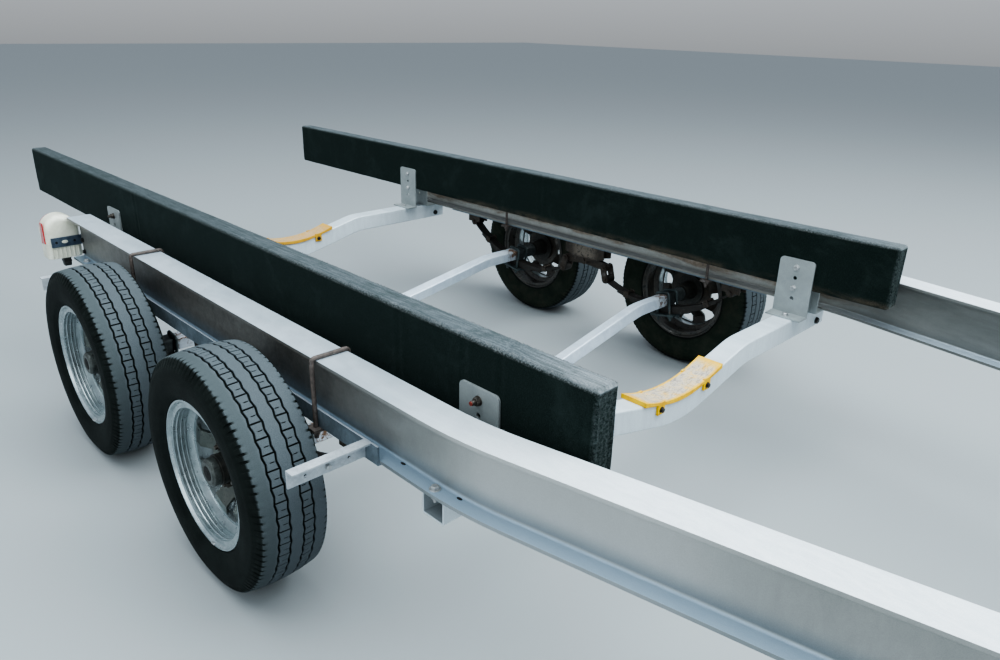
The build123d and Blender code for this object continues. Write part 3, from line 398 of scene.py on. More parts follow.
def make_carpet():
    """Black marine carpet: fine matted fibres, dusty with a painted bluish sky sheen on its top, and worn pale along
    its edges.
    """
    s = Surface("marine_carpet")
    tuft = s.noise(330, 4, 0.75, 0.6)
    black = s.ramp(
        tuft, (0.28, (0.0022, 0.0052, 0.0043)), (0.52, (0.006, 0.0122, 0.0106)), (0.78, (0.02, 0.03, 0.0275)),
    )
    # Top colour: dust with a painted sky sheen, in brushed highlight streaks and brighter toward the front.
    brushed = s.noise(46, 6, 0.72, 0.3, (0.22, 3.4, 3.4))
    ahead = s.times(s.band(s.x, 0.7, 0.94), s.band(s.y, -0.1, 0.1, 1, 0.4))
    dust = s.mix(
        ahead, s.fade(tuft, (0.06, 0.076, 0.088), (0.215, 0.245, 0.268)),
        s.fade(tuft, (0.13, 0.15, 0.165), (0.37, 0.41, 0.44)),
    )
    smear = s.noise(24, 7, 0.75, 0.5, (0.3, 1, 1))
    earth = s.fade(tuft, (0.06, 0.045, 0.033), (0.2, 0.155, 0.115))
    front = s.band(s.x, BUNK_FRONT - 0.012, BUNK_FRONT - 0.002, 0, 0.4)
    colour = s.paint(
        black, (s.times(s.painted("top"), s.band(brushed, 0.3, 0.68, 0.35, 1), 0.9), dust),
        (s.times(s.painted("edge"), s.band(s.noise(240, 5, 0.8), 0.42, 0.66, 0, 0.8)), (0.2, 0.21, 0.215)),
        (s.times(s.painted("earth"), s.band(smear, 0.34, 0.66, 0, 0.75)), earth),
        (s.band(s.noise(6.5, 7, 0.78, 0.6), 0.48, 0.68, 0, 0.5), (0.018, 0.028, 0.026)),
        (s.band(s.noise(60, 7, 0.8, 1.2, (0.5, 1, 1)), 0.6, 0.8, 0, 0.25), (0.05, 0.072, 0.07)),
        (s.times(front, s.band(s.noise(140, 6, 0.8), 0.4, 0.66)), (0.15, 0.18, 0.185)),
    )
    s.shade(colour, 0.96, 0, {
        "Sheen Weight": 0.035, "Sheen Roughness": 0.5, "Sheen Tint": (0.62, 0.78, 0.8), "Specular IOR Level": 0.08,
    })
    s.bump(tuft, 0.0018, 0.85)
    s.bump(s.noise(1500, 2, 0.8), 0.0007, 0.6)


def make_pad():
    """Yellow polyurethane: bright on its sides, rubbed pale with grey and pink scuffs on top."""
    s = Surface("yellow_polyurethane", 0.0022)
    yellow = s.ramp(
        s.noise(30, 5, 0.65), (0.3, (0.6, 0.3, 0.001)), (0.5, (0.78, 0.45, 0.001)), (0.75, (0.86, 0.56, 0.003)),
    )
    rubbed = s.ramp(
        s.noise(22, 7, 0.74, 0.8), (0.35, (0.8, 0.45, 0.04)), (0.45, (0.62, 0.48, 0.29)),
        (0.57, (0.52, 0.46, 0.39)), (0.68, (0.28, 0.24, 0.21)),
    )
    scratch = s.band(s.noise(46, 7, 0.82, 1.6, (2.2, 0.8, 1)), 0.48, 0.6, 0, 0.7)
    off = s.math("MINIMUM", *(s.away(s.x, station) for station in MEMBERS.values()))
    worn = s.times(
        s.band(s.faces("Z"), 0.55, 0.95), s.band(s.noise(55, 5, 0.7), 0.22, 0.38, 0.75, 1),
        s.band(s.away(s.y), 0.165, 0.2, 1, 0.15),
        s.band(s.plus(off, s.times(s.noise(60, 5, 0.7), 0.01)), 0.0395, 0.0455, 1, 0.2),
    )
    rear = s.band(s.x, MEMBERS["rear"] + 0.2, MEMBERS["rear"] + 0.4, 0.6, 0)
    colour = s.paint(yellow, (worn, s.mix(scratch, rubbed, (0.15, 0.135, 0.125))), (rear, (0.4, 0.21, 0.045)))
    s.shade(colour, s.fade(s.noise(40), 0.38, 0.62), 0, {
        "Specular IOR Level": 0.25, "Subsurface Weight": 0.05, "Subsurface Radius": (0.02, 0.01, 0.004),
    })
    s.bump(s.noise(120, 5, 0.7), 0.0009, 0.55)


def make_tyre_rubber():
    """Rubber: grey with road dust on the worn tread, black in its grooves and on its sides."""
    s = Surface("tyre_rubber")
    fine, dust, away = s.noise(420, 4, 0.75), s.noise(13, 6, 0.7, 0.5), s.away(s.y)
    inboard = s.band(away, TRACK - 0.094, TRACK - 0.09, 1, 0)
    dusty = s.fade(dust, (0.0095, 0.016, 0.011), (0.028, 0.035, 0.024), 0.34, 0.74)
    side = s.paint(
        s.fade(dust, (0.0022, 0.0041, 0.0035), (0.0092, 0.013, 0.0118), 0.34, 0.74),
        (s.band(s.noise(190, 3), 0.7, 0.76, 0, 0.35), (0.12, 0.125, 0.12)), (s.times(inboard, 0.85), dusty),
        (s.times(inboard, s.band(s.noise(21, 6, 0.7, 0.3), 0.46, 0.7, 0, 0.32)), (0.05, 0.042, 0.03)),
    )
    top = s.paint(
        s.fade(fine, (0.046, 0.057, 0.064), (0.102, 0.122, 0.135), 0.25, 0.75),
        (s.band(dust, 0.35, 0.7, 0, 0.45), (0.07, 0.082, 0.09)),
        (s.band(away, TRACK + 0.05, TRACK + 0.06, 0, 0.45), (0.04, 0.052, 0.052)),
    )
    colour = s.mix(s.band(s.painted("wear"), 0.35, 0.85), side, top)
    s.shade(colour, s.fade(fine, 0.62, 0.82), 0, {"Specular IOR Level": 0.12})
    s.bump(fine, 0.0006, 0.5)


def make_lens():
    """Moulded red plastic with a fine prism pattern inside."""
    s = Surface("red_lens", 0.0012)
    prism = s.cells(190)
    colour = s.fade(prism, (0.72, 0.01, 0.016), (0.34, 0.002, 0.006), 0, 0.9)
    s.shade(colour, s.fade(s.noise(40), 0.12, 0.26), 0, {"Coat Weight": 0.6})
    s.bump(prism, 0.0008, 0.5)


def make_plain(name, low, high, rough, metal, scale, bump, coat=0):
    """A surface of one colour that varies with dirt, with a fine bump."""
    s = Surface(name, 0.0008)
    colour = s.fade(s.noise(scale, 6, 0.7, 0.3), low, high, 0.3, 0.72)
    s.shade(colour, s.fade(s.noise(scale * 2.2), rough, rough + 0.18, 0.3, 0.75), metal, {"Coat Weight": coat})
    s.bump(s.noise(scale * 9, 4, 0.7), bump, 0.6)


# Light and dark colour, rust's share and threshold, metallic share, grain and upper face, whose paler colour is
# painted light
GALVANISED = {
    "bracket_aluminium": ((0.38, 0.415, 0.42), (0.3, 0.33, 0.335), 0.1, 0.66, 0.4, 900),
    "galvanised_steel": ((0.56, 0.6, 0.64), (0.33, 0.37, 0.41), 0.45, 0.62),
    "angle_zinc": ((0.2, 0.25, 0.29), (0.105, 0.135, 0.16), 0.3, 0.62, 0.45, 150, (0.42, 0.47, 0.52)),
    "arm_zinc": ((0.6, 0.64, 0.68), (0.42, 0.46, 0.5), 0.15, 0.66, 0.5),
    "clamp_metal": ((0.08, 0.105, 0.108), (0.024, 0.034, 0.036), 0.4, 0.58, 0.45),
    "jack_zinc": ((0.66, 0.68, 0.71), (0.48, 0.51, 0.55), 0.2, 0.7, 0.85, 600),
}
# Dark and light colour, metallic share, ash and the plates between the axles
RUSTED = {
    "hanger_metal": ((0.011, 0.01, 0.009), (0.052, 0.04, 0.031), 0.3, 0.35, (0.22, 0.185, 0.15)),
    "rusty_bar": ((0.03, 0.026, 0.024), (0.12, 0.098, 0.088), 0.35, 0.9),
    "spring_steel": ((0.0055, 0.006, 0.006), (0.026, 0.022, 0.019), 0.25, 0.2),
}
# Dark and light colour, roughness, metallic share, scale of the dirt, bump and coat
PLAIN = {
    "hub_black": ((0.008, 0.009, 0.009), (0.045, 0.042, 0.036), 0.38, 0.3, 60, 0.0006),
    "cap_metal": ((0.03, 0.035, 0.033), (0.125, 0.135, 0.128), 0.34, 0.6, 70, 0.0004),
    "nut_steel": ((0.03, 0.027, 0.024), (0.13, 0.115, 0.1), 0.36, 0.7, 120, 0.0004),
    "bolt_zinc": ((0.33, 0.34, 0.35), (0.62, 0.63, 0.63), 0.3, 0.85, 160, 0.0002),
    "red_thread": ((0.16, 0.02, 0.014), (0.34, 0.06, 0.04), 0.5, 0.3, 160, 0.0002),
    "black_steel": (0.008, (0.03, 0.028, 0.027), 0.4, 0.4, 110, 0.0003),
    # Painted shade inside open holes; also the black rubber plug in the grease cap.
    "hole_black": (0.0015, 0.006, 0.8, 0, 90, 0.0002),
    "cream_plastic": ((0.6, 0.59, 0.48), (0.78, 0.78, 0.68), 0.26, 0, 26, 0.0003, 0.3),
    "black_rubber": (0.008, (0.032, 0.032, 0.03), 0.5, 0, 60, 0.0005),
    "blue_grey_steel": ((0.035, 0.052, 0.08), (0.11, 0.15, 0.2), 0.4, 0.5, 40, 0.0004),
}
make_aluminium("mill_aluminium", (0.385, 0.395, 0.385), (0.096, 0.091, 0.083))
make_aluminium("member_aluminium", (0.66, 0.735, 0.79))
for maker, table in ((make_galvanised, GALVANISED), (make_rust, RUSTED), (make_plain, PLAIN)):
    for name, settings in table.items():
        maker(name, *settings)
for maker in (make_rim_zinc, make_axle_steel, make_carpet, make_pad, make_tyre_rubber, make_lens):
    maker()

# Looks of the CAD nodes, by the start of their names; a later line goes over an earlier one
for look, starts in {
    "mill_aluminium": "main_rail",
    "member_aluminium": "cross_member tongue winch_post",
    "bracket_aluminium": "bunk_brackets",
    "black_rubber": "bow_stop",
    "galvanised_steel": "coupler winch_frame winch_drum bow_stop_bracket",
    "arm_zinc": "fender_brackets",
    "angle_zinc": "sub_rails",
    "clamp_metal": "spring_clamps",
    "hanger_metal": "spring_hangers equalisers",
    "rusty_bar": "rail_u_bolts",
    "axle_steel": "axle",
    "spring_steel": "leaf_springs",
    "yellow_polyurethane": "keel_pads",
    "blue_grey_steel": "tail_light_brackets",
    "cream_plastic": "tail_light_housings",
    "red_lens": "tail_light_lenses",
    "jack_zinc": "jack",
    "rim_zinc": "rim",
    "hub_black": "hub",
}.items():
    for name, node in nodes.items():
        if name.startswith(tuple(starts.split())):
            for slot in node.material_slots:
                slot.material = LOOKS[look]


# Mesh tools


def new_piece(name, build, look, body="trailer", crease=35):
    """A finished piece of the visual model, in its look, on its body and in its material slot."""
    mesh = bpy.data.meshes.new(name)
    bmesh.ops.recalc_face_normals(build, faces=build.faces)
    build.to_mesh(mesh)
    build.free()
    for face in mesh.polygons:
        face.use_smooth = True
    mesh.set_sharp_from_angle(angle=radians(crease))
    mesh.materials.append(LOOKS[look])
    piece = bpy.data.objects.new(name, mesh)
    bpy.context.scene.collection.objects.link(piece)
    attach(piece, body)
    return piece


def seated(place, axis):
    """From millimetres, with Z along the axis, to the place in metres."""
    turn = Vector(axis).to_track_quat("Z", "Y").to_matrix().to_4x4()
    return Matrix.Translation(place) @ turn @ Matrix.Scale(MM, 4)


def circle(count, phase=0):
    """The cosine and the sine of even turns round a circle."""
    turns = (phase + tau * k / count for k in range(count))
    return [(cos(turn), sin(turn)) for turn in turns]


def skin(build, rings):
    """Faces between rings of vertices that follow each other; a ring of one vertex closes an end."""
    for low, high in zip(rings, rings[1:]):
        for k in range(max(len(low), len(high))):
            n = k + 1
            corners = (low[k % len(low)], low[n % len(low)], high[n % len(high)], high[k % len(high)])
            corners = tuple(dict.fromkeys(corners))
            if len(corners) > 2:
                build.faces.new(corners)


def lathe(build, place, axis, profile, segments=24, phase=0):
    """A turned shape: rings of (radius, height) about an axis, with radius 0 as a closed end."""
    spot = seated(place, axis)
    skin(build, [
        [build.verts.new(spot @ Vector((radius * across, radius * up, height))) for across, up in turns]
        for radius, height in profile
        for turns in [circle(segments, phase) if radius else [(0, 0)]]
    ])


def washer(build, place, axis, radius):
    """A washer two millimetres thick; gives the place on top of it."""
    lathe(build, place, axis, [(0, 0), (radius, 0), (radius, 1.6), (radius - 0.4, 2), (0, 2)])
    return place + Vector(axis).normalized() * 2 * MM


def bolt_head(build, place, axis, radius, phase=0.3, collar=2):
    """A washer and a chamfered hexagon head."""
    height = 1.25 * radius
    lathe(build, washer(build, place, axis, collar * radius), axis, [
        (0, 0), (1.62 * radius, 0), (1.75 * radius, 0.1 * height), (1.75 * radius, 0.82 * height),
        (1.5 * radius, height), (0, height),
    ], 6, phase)


def nut_and_thread(build, place, axis, radius, thread):
    """A washer, a nut and the bolt's end, with turned threads."""
    top = washer(build, place, axis, 2 * radius)
    height = 1.6 * radius
    lathe(build, top, axis, [
        (0, 0), (1.55 * radius, 0), (1.75 * radius, 0.12 * height), (1.75 * radius, 0.88 * height),
        (1.55 * radius, height), (0, height),
    ], 6, 0.1)
    steps = max(2, int(thread / 1.6))
    ridges = [(radius * (1 if k % 2 else 0.88), height + thread * k / steps) for k in range(steps)]
    lathe(build, top, axis, ridges + [(0.75 * radius, height + thread), (0, height + thread)], 16)


def bolted(build, place, axis, radius, grip, thread, **head):
    """A bolt through a plate: its head at place, its nut on the other side."""
    way = Vector(axis).normalized()
    bolt_head(build, place, way, radius, **head)
    nut_and_thread(build, place - way * grip * MM, -way, radius, thread)


def box(build, low, high, bevel=0.001):
    made = bmesh.ops.create_cube(build, size=1)["verts"]
    for vert in made:
        vert.co = Vector([(a + b) / 2 + v * (b - a) for a, b, v in zip(low, high, vert.co)])
    edges = list(dict.fromkeys(edge for vert in made for edge in vert.link_edges))
    bmesh.ops.bevel(build, geom=edges, offset=bevel, segments=2, affect="EDGES", profile=0.6)


def loft(build, rings):
    """Faces between rings of points that follow each other, and across the first and last."""
    made = [[build.verts.new(point) for point in ring] for ring in rings]
    skin(build, made)
    build.faces.new(made[0])
    build.faces.new(made[-1])


def rounded(points, bend):
    """The points of a bent path, each inner corner eased over the bend's length."""
    eased = [points[0]]
    for before, corner, after in zip(points, points[1:], points[2:]):
        start = corner + (before - corner).normalized() * bend
        end = corner + (after - corner).normalized() * bend
        for t in (0, 0.2, 0.4, 0.6, 0.8, 1):
            eased.append(start * (1 - t) ** 2 + corner * 2 * t * (1 - t) + end * t ** 2)
    return eased + [points[-1]]


def bent_bar(build, points, radius, segments=12, ripple=0):
    """A round bar through points; with ripple it has the scaled look of a weld bead."""
    across = None
    rings = []
    for k, point in enumerate(points):
        before = point - points[max(0, k - 1)]
        after = points[min(len(points) - 1, k + 1)] - point
        way = (before.normalized() + after.normalized()).normalized()
        across = way.orthogonal() if across is None else across - way * across.dot(way)
        across.normalize()
        other = way.cross(across)
        size = radius * MM * (1 + ripple * sin(2.1 * k))
        rings.append([point + size * (c * across + s * other) for c, s in circle(segments)])
    loft(build, rings)


def weld(build, start, end, radius=3.5):
    """A bead with a ripple about every two millimetres."""
    count = max(3, int((end - start).length / 0.0022))
    bent_bar(build, [start.lerp(end, k / count) for k in range(count + 1)], radius, 8, 0.16)


def mark(build, place, axis, long, wide, along=(1, 0, 0)):
    """The mouth of a drilled or slotted hole: a shallow rim round a flat oval, which in black is painted shade."""
    way, first = Vector(axis), Vector(along)
    second = way.cross(first)
    loft(build, [
        [place + MM * (way * height + share * (long * c * first + wide * s * second)) for c, s in circle(24)]
        for share, height in ((1, 0), (0.94, 0.3), (0.4, 0.3))
    ])


def toothed(build, place, axis, root, tip, count, thick):
    """A gear wheel with a raised boss."""
    spot = seated(place, axis)
    outline = []
    for k in range(count):
        for share, radius in ((0, root), (0.22, root), (0.38, tip), (0.72, tip), (0.88, root)):
            turn = tau * (k + share) / count
            outline.append((radius * cos(turn), radius * sin(turn)))
    loft(build, [[spot @ Vector((x, y, height)) for x, y in outline] for height in (0, thick)])
    lathe(build, place, axis, [(16, thick), (16, thick + 3), (13, thick + 4), (0, thick + 4)])


# Tyres: four zigzag grooves, two rows of cut blocks and lugged shoulders

PITCHES = 52
TREAD_HALF = 0.088
CROWN = 0.332
CROWN_DROP = 0.008
GROOVE = 0.0075
ZIGZAG = 0.0018
CUT_DEPTH = 0.005
SIPE_DEPTH = 0.0022
NOTCH_WIDTH = 0.0038
NOTCH_DEPTH = 0.0016
STEPS = (0, 0.02, 0.1, 0.12, 0.16, 0.2, 0.485, 0.5, 0.545, 0.56, 0.64, 0.68)
# Bead and shoulder, in metres: offset, radius, zigzag share, cut depth, wear, lug
BEAD = ((0.0757, 0.1915, 0, 0, 0, 0), (0.0762, 0.208, 0, 0, 0, 0), (0.083, 0.2118, 0, 0, 0, 0))
SHOULDER = (0.0868, 0.3243, 0, 0, 0.8, 0.5)
# Tread, in millimetres: offset, offset that sets the radius, groove, zigzag share, cut depth, wear, lug
TREAD = (
    (84, 84, 0, 0, 0, 1, 0.1), (70, 70, 0, 0.2, 0, 1, 0), (52, 52, 0, 1, 0, 1, 0), (50.8, 51, 1, 1, 0, 0, 0),
    (46.6, 47, 1, 1, 0, 0, 0), (45.4, 45, 0, 1, 0.6, 1, 0), (40, 40, 0, 0.6, 1, 1, 0), (33.5, 33.5, 0, 0.2, 1, 1, 0),
    (27, 27, 0, -0.4, 1, 1, 0), (21.5, 21.5, 0, -1, 0.6, 1, 0), (20.3, 20, 1, -1, 0, 0, 0),
    (16.1, 16, 1, -1, 0, 0, 0), (14.9, 15, 0, -1, 0, 1, 0), (7.5, 0, 0, -0.3, 0, 1, 0),
)


def sidewall():
    """Columns from the rim to the shoulder, along a curve through three points, with two rings."""
    foot, belly, shoulder = Vector((0.09, 0.2115)), Vector((0.104, 0.27)), Vector((TREAD_HALF, 0.324))
    columns = []
    for k in range(16):
        t = k / 16
        offset, radius = foot * (t - 0.5) * (t - 1) * 2 - belly * 4 * t * (t - 1) + shoulder * t * (t - 0.5) * 2
        ring = 0.0009 * (k in (2, 3)) + 0.0014 * (k in (11, 12))
        lug = max(0, (t - 0.8) / 0.2)
        columns.append((offset + ring, radius, 0, 0, 0.25 * lug, lug))
    return columns


def tyre_columns():
    """Columns across the tyre: offset, radius, zigzag share, cut depth, wear, lug."""
    half = [*BEAD, *sidewall(), SHOULDER]
    for offset, crown_place, groove, *rest in TREAD:
        radius = CROWN - CROWN_DROP * (crown_place * MM / TREAD_HALF) ** 2 - GROOVE * groove
        half.append((offset * MM, radius, *rest))
    return half + [(0, CROWN, 0, 0, 1, 0)] + [(-offset, *rest) for offset, *rest in reversed(half)]


def make_tyre(axle, side):
    columns = tyre_columns()
    centre = at(AXLES[axle], SIDES[side] * TRACK, AXLE_Z)
    turn = 0.21 * (1 + len(axle))
    build = bmesh.new()
    wear_layer = build.verts.layers.float.new("wear")
    rows = []
    for pitch, step in product(range(PITCHES), STEPS):
        worn = 0.62 + 0.22 * sin(2.9 * pitch) + 0.16 * sin(0.7 * pitch)
        angle = tau * (pitch + step) / PITCHES + turn
        zigzag = ZIGZAG * (4 * abs(step - 0.5) - 1)
        cut = 0.02 <= step <= 0.1
        sipe = 0.5 <= step <= 0.545
        notch = 0.02 <= step <= 0.16 or 0.5 <= step <= 0.64
        row = []
        for offset, radius, wave, depth, wear, lug in columns:
            shown = wear
            if cut and depth:
                radius -= CUT_DEPTH * depth
                shown = 0
            elif sipe and depth == 1 and abs(offset) < 0.034:
                radius -= SIPE_DEPTH
                shown = 0.1
            if notch and lug:
                offset -= copysign(NOTCH_WIDTH * worn * min(1, 2 * lug), offset)
                radius -= NOTCH_DEPTH * worn * lug
                shown *= 1 - 0.65 * worn
            place = offset + wave * zigzag * (1 if offset > 0 else -1)
            vert = build.verts.new(centre + Vector((radius * cos(angle), place, radius * sin(angle))))
            vert[wear_layer] = shown
            row.append(vert)
        rows.append(row)
    skin(build, rows + rows[:1])
    piece = new_piece(f"road_tyre_{axle}_{side}", build, "tyre_rubber", f"wheel_{axle}_{side}", 40)
    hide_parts(f"tyre_{axle}_{side}")


# Wheel fittings: lug nuts on their studs, the cap's rings, a valve and a balance weight

NUT_CIRCLE = 0.05715
NUT_FACE = -0.0021
WEIGHT_CIRCLE = 0.2045
# Ring round the cap: radius, start and width; step in the rim: radius, place, height and width
CAP_RINGS = ((42.8, 30, 6), (43.6, 42.5, 4), (39.8, 47, 3))
RIM_STEPS = (
    (185.7, 70, 2.2, 7), (185.7, 58.5, 1.4, 5), (185.7, 47, 1.2, 5), (167.2, 18, 1.4, 6), (205.2, 84.5, 1.2, 4),
)
GREASE_CAP = [
    (39.2, 50), (39.6, 64), (38.6, 66.8), (33.5, 70.4), (32.2, 72.2), (23.5, 72.4), (21.5, 71.2), (0, 71.2),
]
CAP_PLUG = [(20.5, 70.8), (20.5, 72), (18, 72.6), (9, 72.2), (8, 73), (5, 73.4), (0, 73.4)]
VALVE = [(6.8, -6), (6.8, 1), (4.2, 4), (3.8, 22), (4.4, 22.5), (4.4, 33), (3.6, 34.5), (0, 34.5)]
STUD = [(6.2 if k % 2 else 5.6, 27 + 1.2 * k) for k in range(6)] + [(4.8, 35), (0, 35)]


def make_wheel_fittings(axle, side):
    way = Vector((0, SIDES[side], 0))
    centre = at(AXLES[axle], SIDES[side] * TRACK, AXLE_Z)

    def add(name, look, shapes):
        build = bmesh.new()
        for place, axis, profile, *rest in shapes:
            lathe(build, place, axis, profile, *rest)
        new_piece(f"{name}_{axle}_{side}", build, look, f"wheel_{axle}_{side}")

    nuts = []
    for k, (c, s) in enumerate(circle(5, 0.86)):
        spot = centre + Vector((c, 0, s)) * NUT_CIRCLE + way * NUT_FACE
        nuts.append((spot, way, [(13.5, 0), (16.5, 1.2), (15, 4.5), (0, 4.5)]))
        nut = [(9.2, 3), (11.5, 6.5), (11.5, 25), (9.8, 27.5), (0, 27.5)]
        nuts.append((spot, way, nut, 6, tau * k / 5 + 0.86))
        nuts.append((spot, way, STUD, 16))
    add("lug_nuts", "nut_steel", nuts)
    add("cap_rings", "hub_black", [
        (centre, way, [(r - 3, low), (r, low + 0.8), (r, low + wide - 0.8), (r - 3, low + wide)], 48)
        for r, low, wide in CAP_RINGS
    ])
    add("grease_cap", "cap_metal", [(centre, way, GREASE_CAP, 48)])
    add("cap_plug", "hole_black", [(centre, way, CAP_PLUG, 40)])
    add("rim_steps", "rim_zinc", [
        (centre, way, [
            (r + 0.4, spot - wide / 2), (r - 0.6 * high, spot - wide / 3), (r - high, spot),
            (r - 0.6 * high, spot + wide / 3), (r + 0.4, spot + wide / 2),
        ], 96) for r, spot, high, wide in RIM_STEPS
    ])
    spoke = Vector((cos(0.48), 0, sin(0.48)))
    foot = centre + spoke * 0.15 + way * 0.029
    add("valve", "black_rubber", [(foot, way - spoke * 0.35, VALVE, 16)])
    weights = []
    for k in range(9):
        angle = -pi / 2 + 0.06 + 0.008 * k
        spot = centre + Vector((cos(angle), 0, sin(angle))) * WEIGHT_CIRCLE + way * 0.086
        weights.append((spot, way, [(3, 0), (4.2, 1), (4, 4.2), (2.2, 5.5), (0, 5.6)], 12))
    add("balance_weight", "bolt_zinc", weights)


for axle, side in product(AXLES, SIDES):
    make_tyre(axle, side)
    make_wheel_fittings(axle, side)


# Bunks: carpet wrapped round each plank, folded at its ends, with seams and worn edges

CARPET_STEP = 0.0085
CORNER = 0.012
SEAMS = {"left": (-0.613, -0.226), "right": (-1.35, 0.34, 0.585, 0.702)}
FOLDS = ((-0.62, 0.0026), (-0.1, 0.0012), (0.3, 0.002), (0.74, 0.0028))
FIBRES = 7000


def carpet_mesh():
    """An empty mesh with the layers that the carpet's material reads."""
    build = bmesh.new()
    return build, {key: build.verts.layers.float.new(key) for key in ("top", "edge", "earth")}


def bunk_ring():
    """Points round the plank's section: offset across, and height from its middle."""
    arcs = []
    for a, b, start in ((1, 1, 0), (-1, 1, 90), (-1, -1, 180), (1, -1, 270)):
        middle = Vector((a * (BUNK_HALF - CORNER), b * (BUNK_RISE - CORNER)))
        turns = [radians(start + 22.5 * j) for j in range(5)]
        arcs.append([middle + CORNER * Vector((cos(turn), sin(turn))) for turn in turns])
    ring = []
    for arc, after, count in zip(arcs, arcs[1:] + arcs[:1], (8, 20, 8, 20)):
        ring += arc + [arc[-1].lerp(after[0], j / count) for j in range(1, count)]
    return ring


def make_bunk(side):
    sign = SIDES[side]
    ring = bunk_ring()
    length = BUNK_FRONT - BUNK_REAR
    count = int(length / CARPET_STEP)
    build, layers = carpet_mesh()
    rows = []
    for station in [BUNK_REAR + length * k / count for k in range(count + 1)]:
        from_end = min(station - BUNK_REAR, BUNK_FRONT - station)
        seam = min(abs(station - s) for s in SEAMS[side])
        even = 0.0009 * hump(seam - 0.016, 0.008) - 0.0016 * hump(seam, 0.006) - 0.0008
        if from_end < 0.012:
            even -= 0.0075 * (1 - sqrt(max(0, 1 - (1 - from_end / 0.012) ** 2)))
        front_share = held((station + 0.9) / 1.7, 0, 1)
        row = []
        for across, up in ring:
            place = Vector((station * 6, across * 20 + sign * 7, up * 16))
            swell = even + 0.001 * noise.noise(place) + 0.0006 * noise.noise(place * 3.1)
            wide, high = held(across / BUNK_HALF, -1, 1) ** 7 * swell, held(up / BUNK_RISE, -1, 1) ** 21 * swell
            vert = build.verts.new(at(station, sign * BUNK_Y + across + wide, BUNK_TOP - BUNK_RISE + up + high))
            upper = max(0, (up / BUNK_RISE - 0.93) / 0.07)
            corner = abs(across) > BUNK_HALF - 0.009 and up > BUNK_RISE - 0.01
            edge = (0.3 + 0.7 * front_share if corner else 0) + 0.75 * hump(from_end, 0.05) * upper
            # The top share lays dust and painted sheen; on the near bunk it grows toward the front.
            vert[layers["top"]] = upper * (0.52 + 0.48 * front_share if side == "right" else 0.85)
            vert[layers["edge"]] = min(1, edge)
            if side == "left" and station > -1.2:
                vert[layers["earth"]] = max(0, 1 - (up + BUNK_RISE) / 0.03)
            row.append(vert)
        rows.append(row)
    skin(build, rows)
    close_end(build, layers, rows[0], -1, sign)
    close_end(build, layers, rows[-1], 1, sign)
    piece = new_piece(f"bunk_carpet_{side}", build, "marine_carpet", crease=60)
    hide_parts(f"bunk_{side}")


def close_end(build, layers, row, out, sign):
    """A folded carpet end: two side flaps tucked under the top flap, with ridges along the folds."""
    centre = sum((vert.co for vert in row), Vector()) / len(row)
    rings = [row]
    for share in (0.93, 0.84, 0.72, 0.58, 0.44, 0.3, 0.15):
        rings.append([])
        for vert in row:
            flat = centre + (vert.co - centre) * share
            across, up = (flat.y - centre.y) / BUNK_HALF, (flat.z - centre.z) / BUNK_RISE
            fold = sum(high * hump(across - spot, 0.11) for spot, high in FOLDS)
            fold += 0.0026 * hump(up - 0.8 + 0.16 * abs(across), 0.05)
            fold += 0.0016 * noise.noise(Vector((across * 2.5, up * 6, sign * 3 + out)))
            flat.x = centre.x + out * (fold - 0.0042 - 0.0035 * (1 - share) * share)
            made = build.verts.new(flat)
            # Pale along the fold ridges: wear, and painted highlight on the folds.
            made[layers["edge"]] = 0.3 if share > 0.9 else held(140 * fold - 0.18, 0, 0.5)
            rings[-1].append(made)
    skin(build, rings)
    build.faces.new(rings[-1])


def make_fibres(side):
    """Frayed fibres along the worn top edges and the front end."""
    sign = SIDES[side]
    build, layers = carpet_mesh()
    for _ in range(FIBRES):
        if dice.random() < 0.74:
            station = BUNK_FRONT - abs(dice.gauss(0, 1.3))
            if station < BUNK_REAR + 0.02 or station > BUNK_FRONT - 0.004:
                continue
            edge = dice.choice((-1, 1))
            turn = dice.uniform(0.05, 1.5)
            across = edge * (BUNK_HALF - CORNER + CORNER * cos(turn))
            up = BUNK_RISE - CORNER + CORNER * sin(turn)
            way = Vector((dice.gauss(0, 0.7), edge * cos(turn), sin(turn))).normalized()
        else:
            station = BUNK_FRONT - dice.uniform(0.003, 0.01)
            edge = dice.choice((-1, 1))
            across = edge * (BUNK_HALF - 0.004)
            up = dice.uniform(-0.5, 0.48) * 2 * BUNK_RISE
            way = Vector((dice.uniform(0, 1), edge * dice.uniform(0.1, 0.9), dice.gauss(0, 0.4))).normalized()
        root = at(station, sign * BUNK_Y + across, BUNK_TOP - BUNK_RISE + up) - way * 0.0014
        tip = root + way * dice.uniform(0.0022, 0.0044) + Vector((dice.gauss(0, 0.0006), 0, dice.gauss(0, 0.0006)))
        spread = way.cross(Vector([dice.gauss(0, 1) for _ in "xyz"])).normalized() * 0.00032
        corners = [build.verts.new(p) for p in (root - spread, root + spread, tip)]
        for vert in corners:
            vert[layers["edge"]] = dice.uniform(0.2, 1)
        build.faces.new(corners)
    new_piece(f"carpet_fibres_{side}", build, "marine_carpet")


for side in SIDES:
    make_bunk(side)
    make_fibres(side)


# Fasteners on the frame

FLANGE_TOP = RAIL_BOTTOM + 0.009


def rail_centre(station):
    """Half the distance between the rails' webs, which turn in ahead of the axles."""
    into = station - BEND_START
    bend = BEND_RADIUS * sin(BEND_ANGLE)
    if into <= 0:
        return RAIL_Y
    if into <= bend:
        return RAIL_Y - BEND_RADIUS * (1 - cos(asin(into / BEND_RADIUS)))
    return RAIL_Y - BEND_RADIUS * (1 - cos(BEND_ANGLE)) - (into - bend) * tan(BEND_ANGLE)


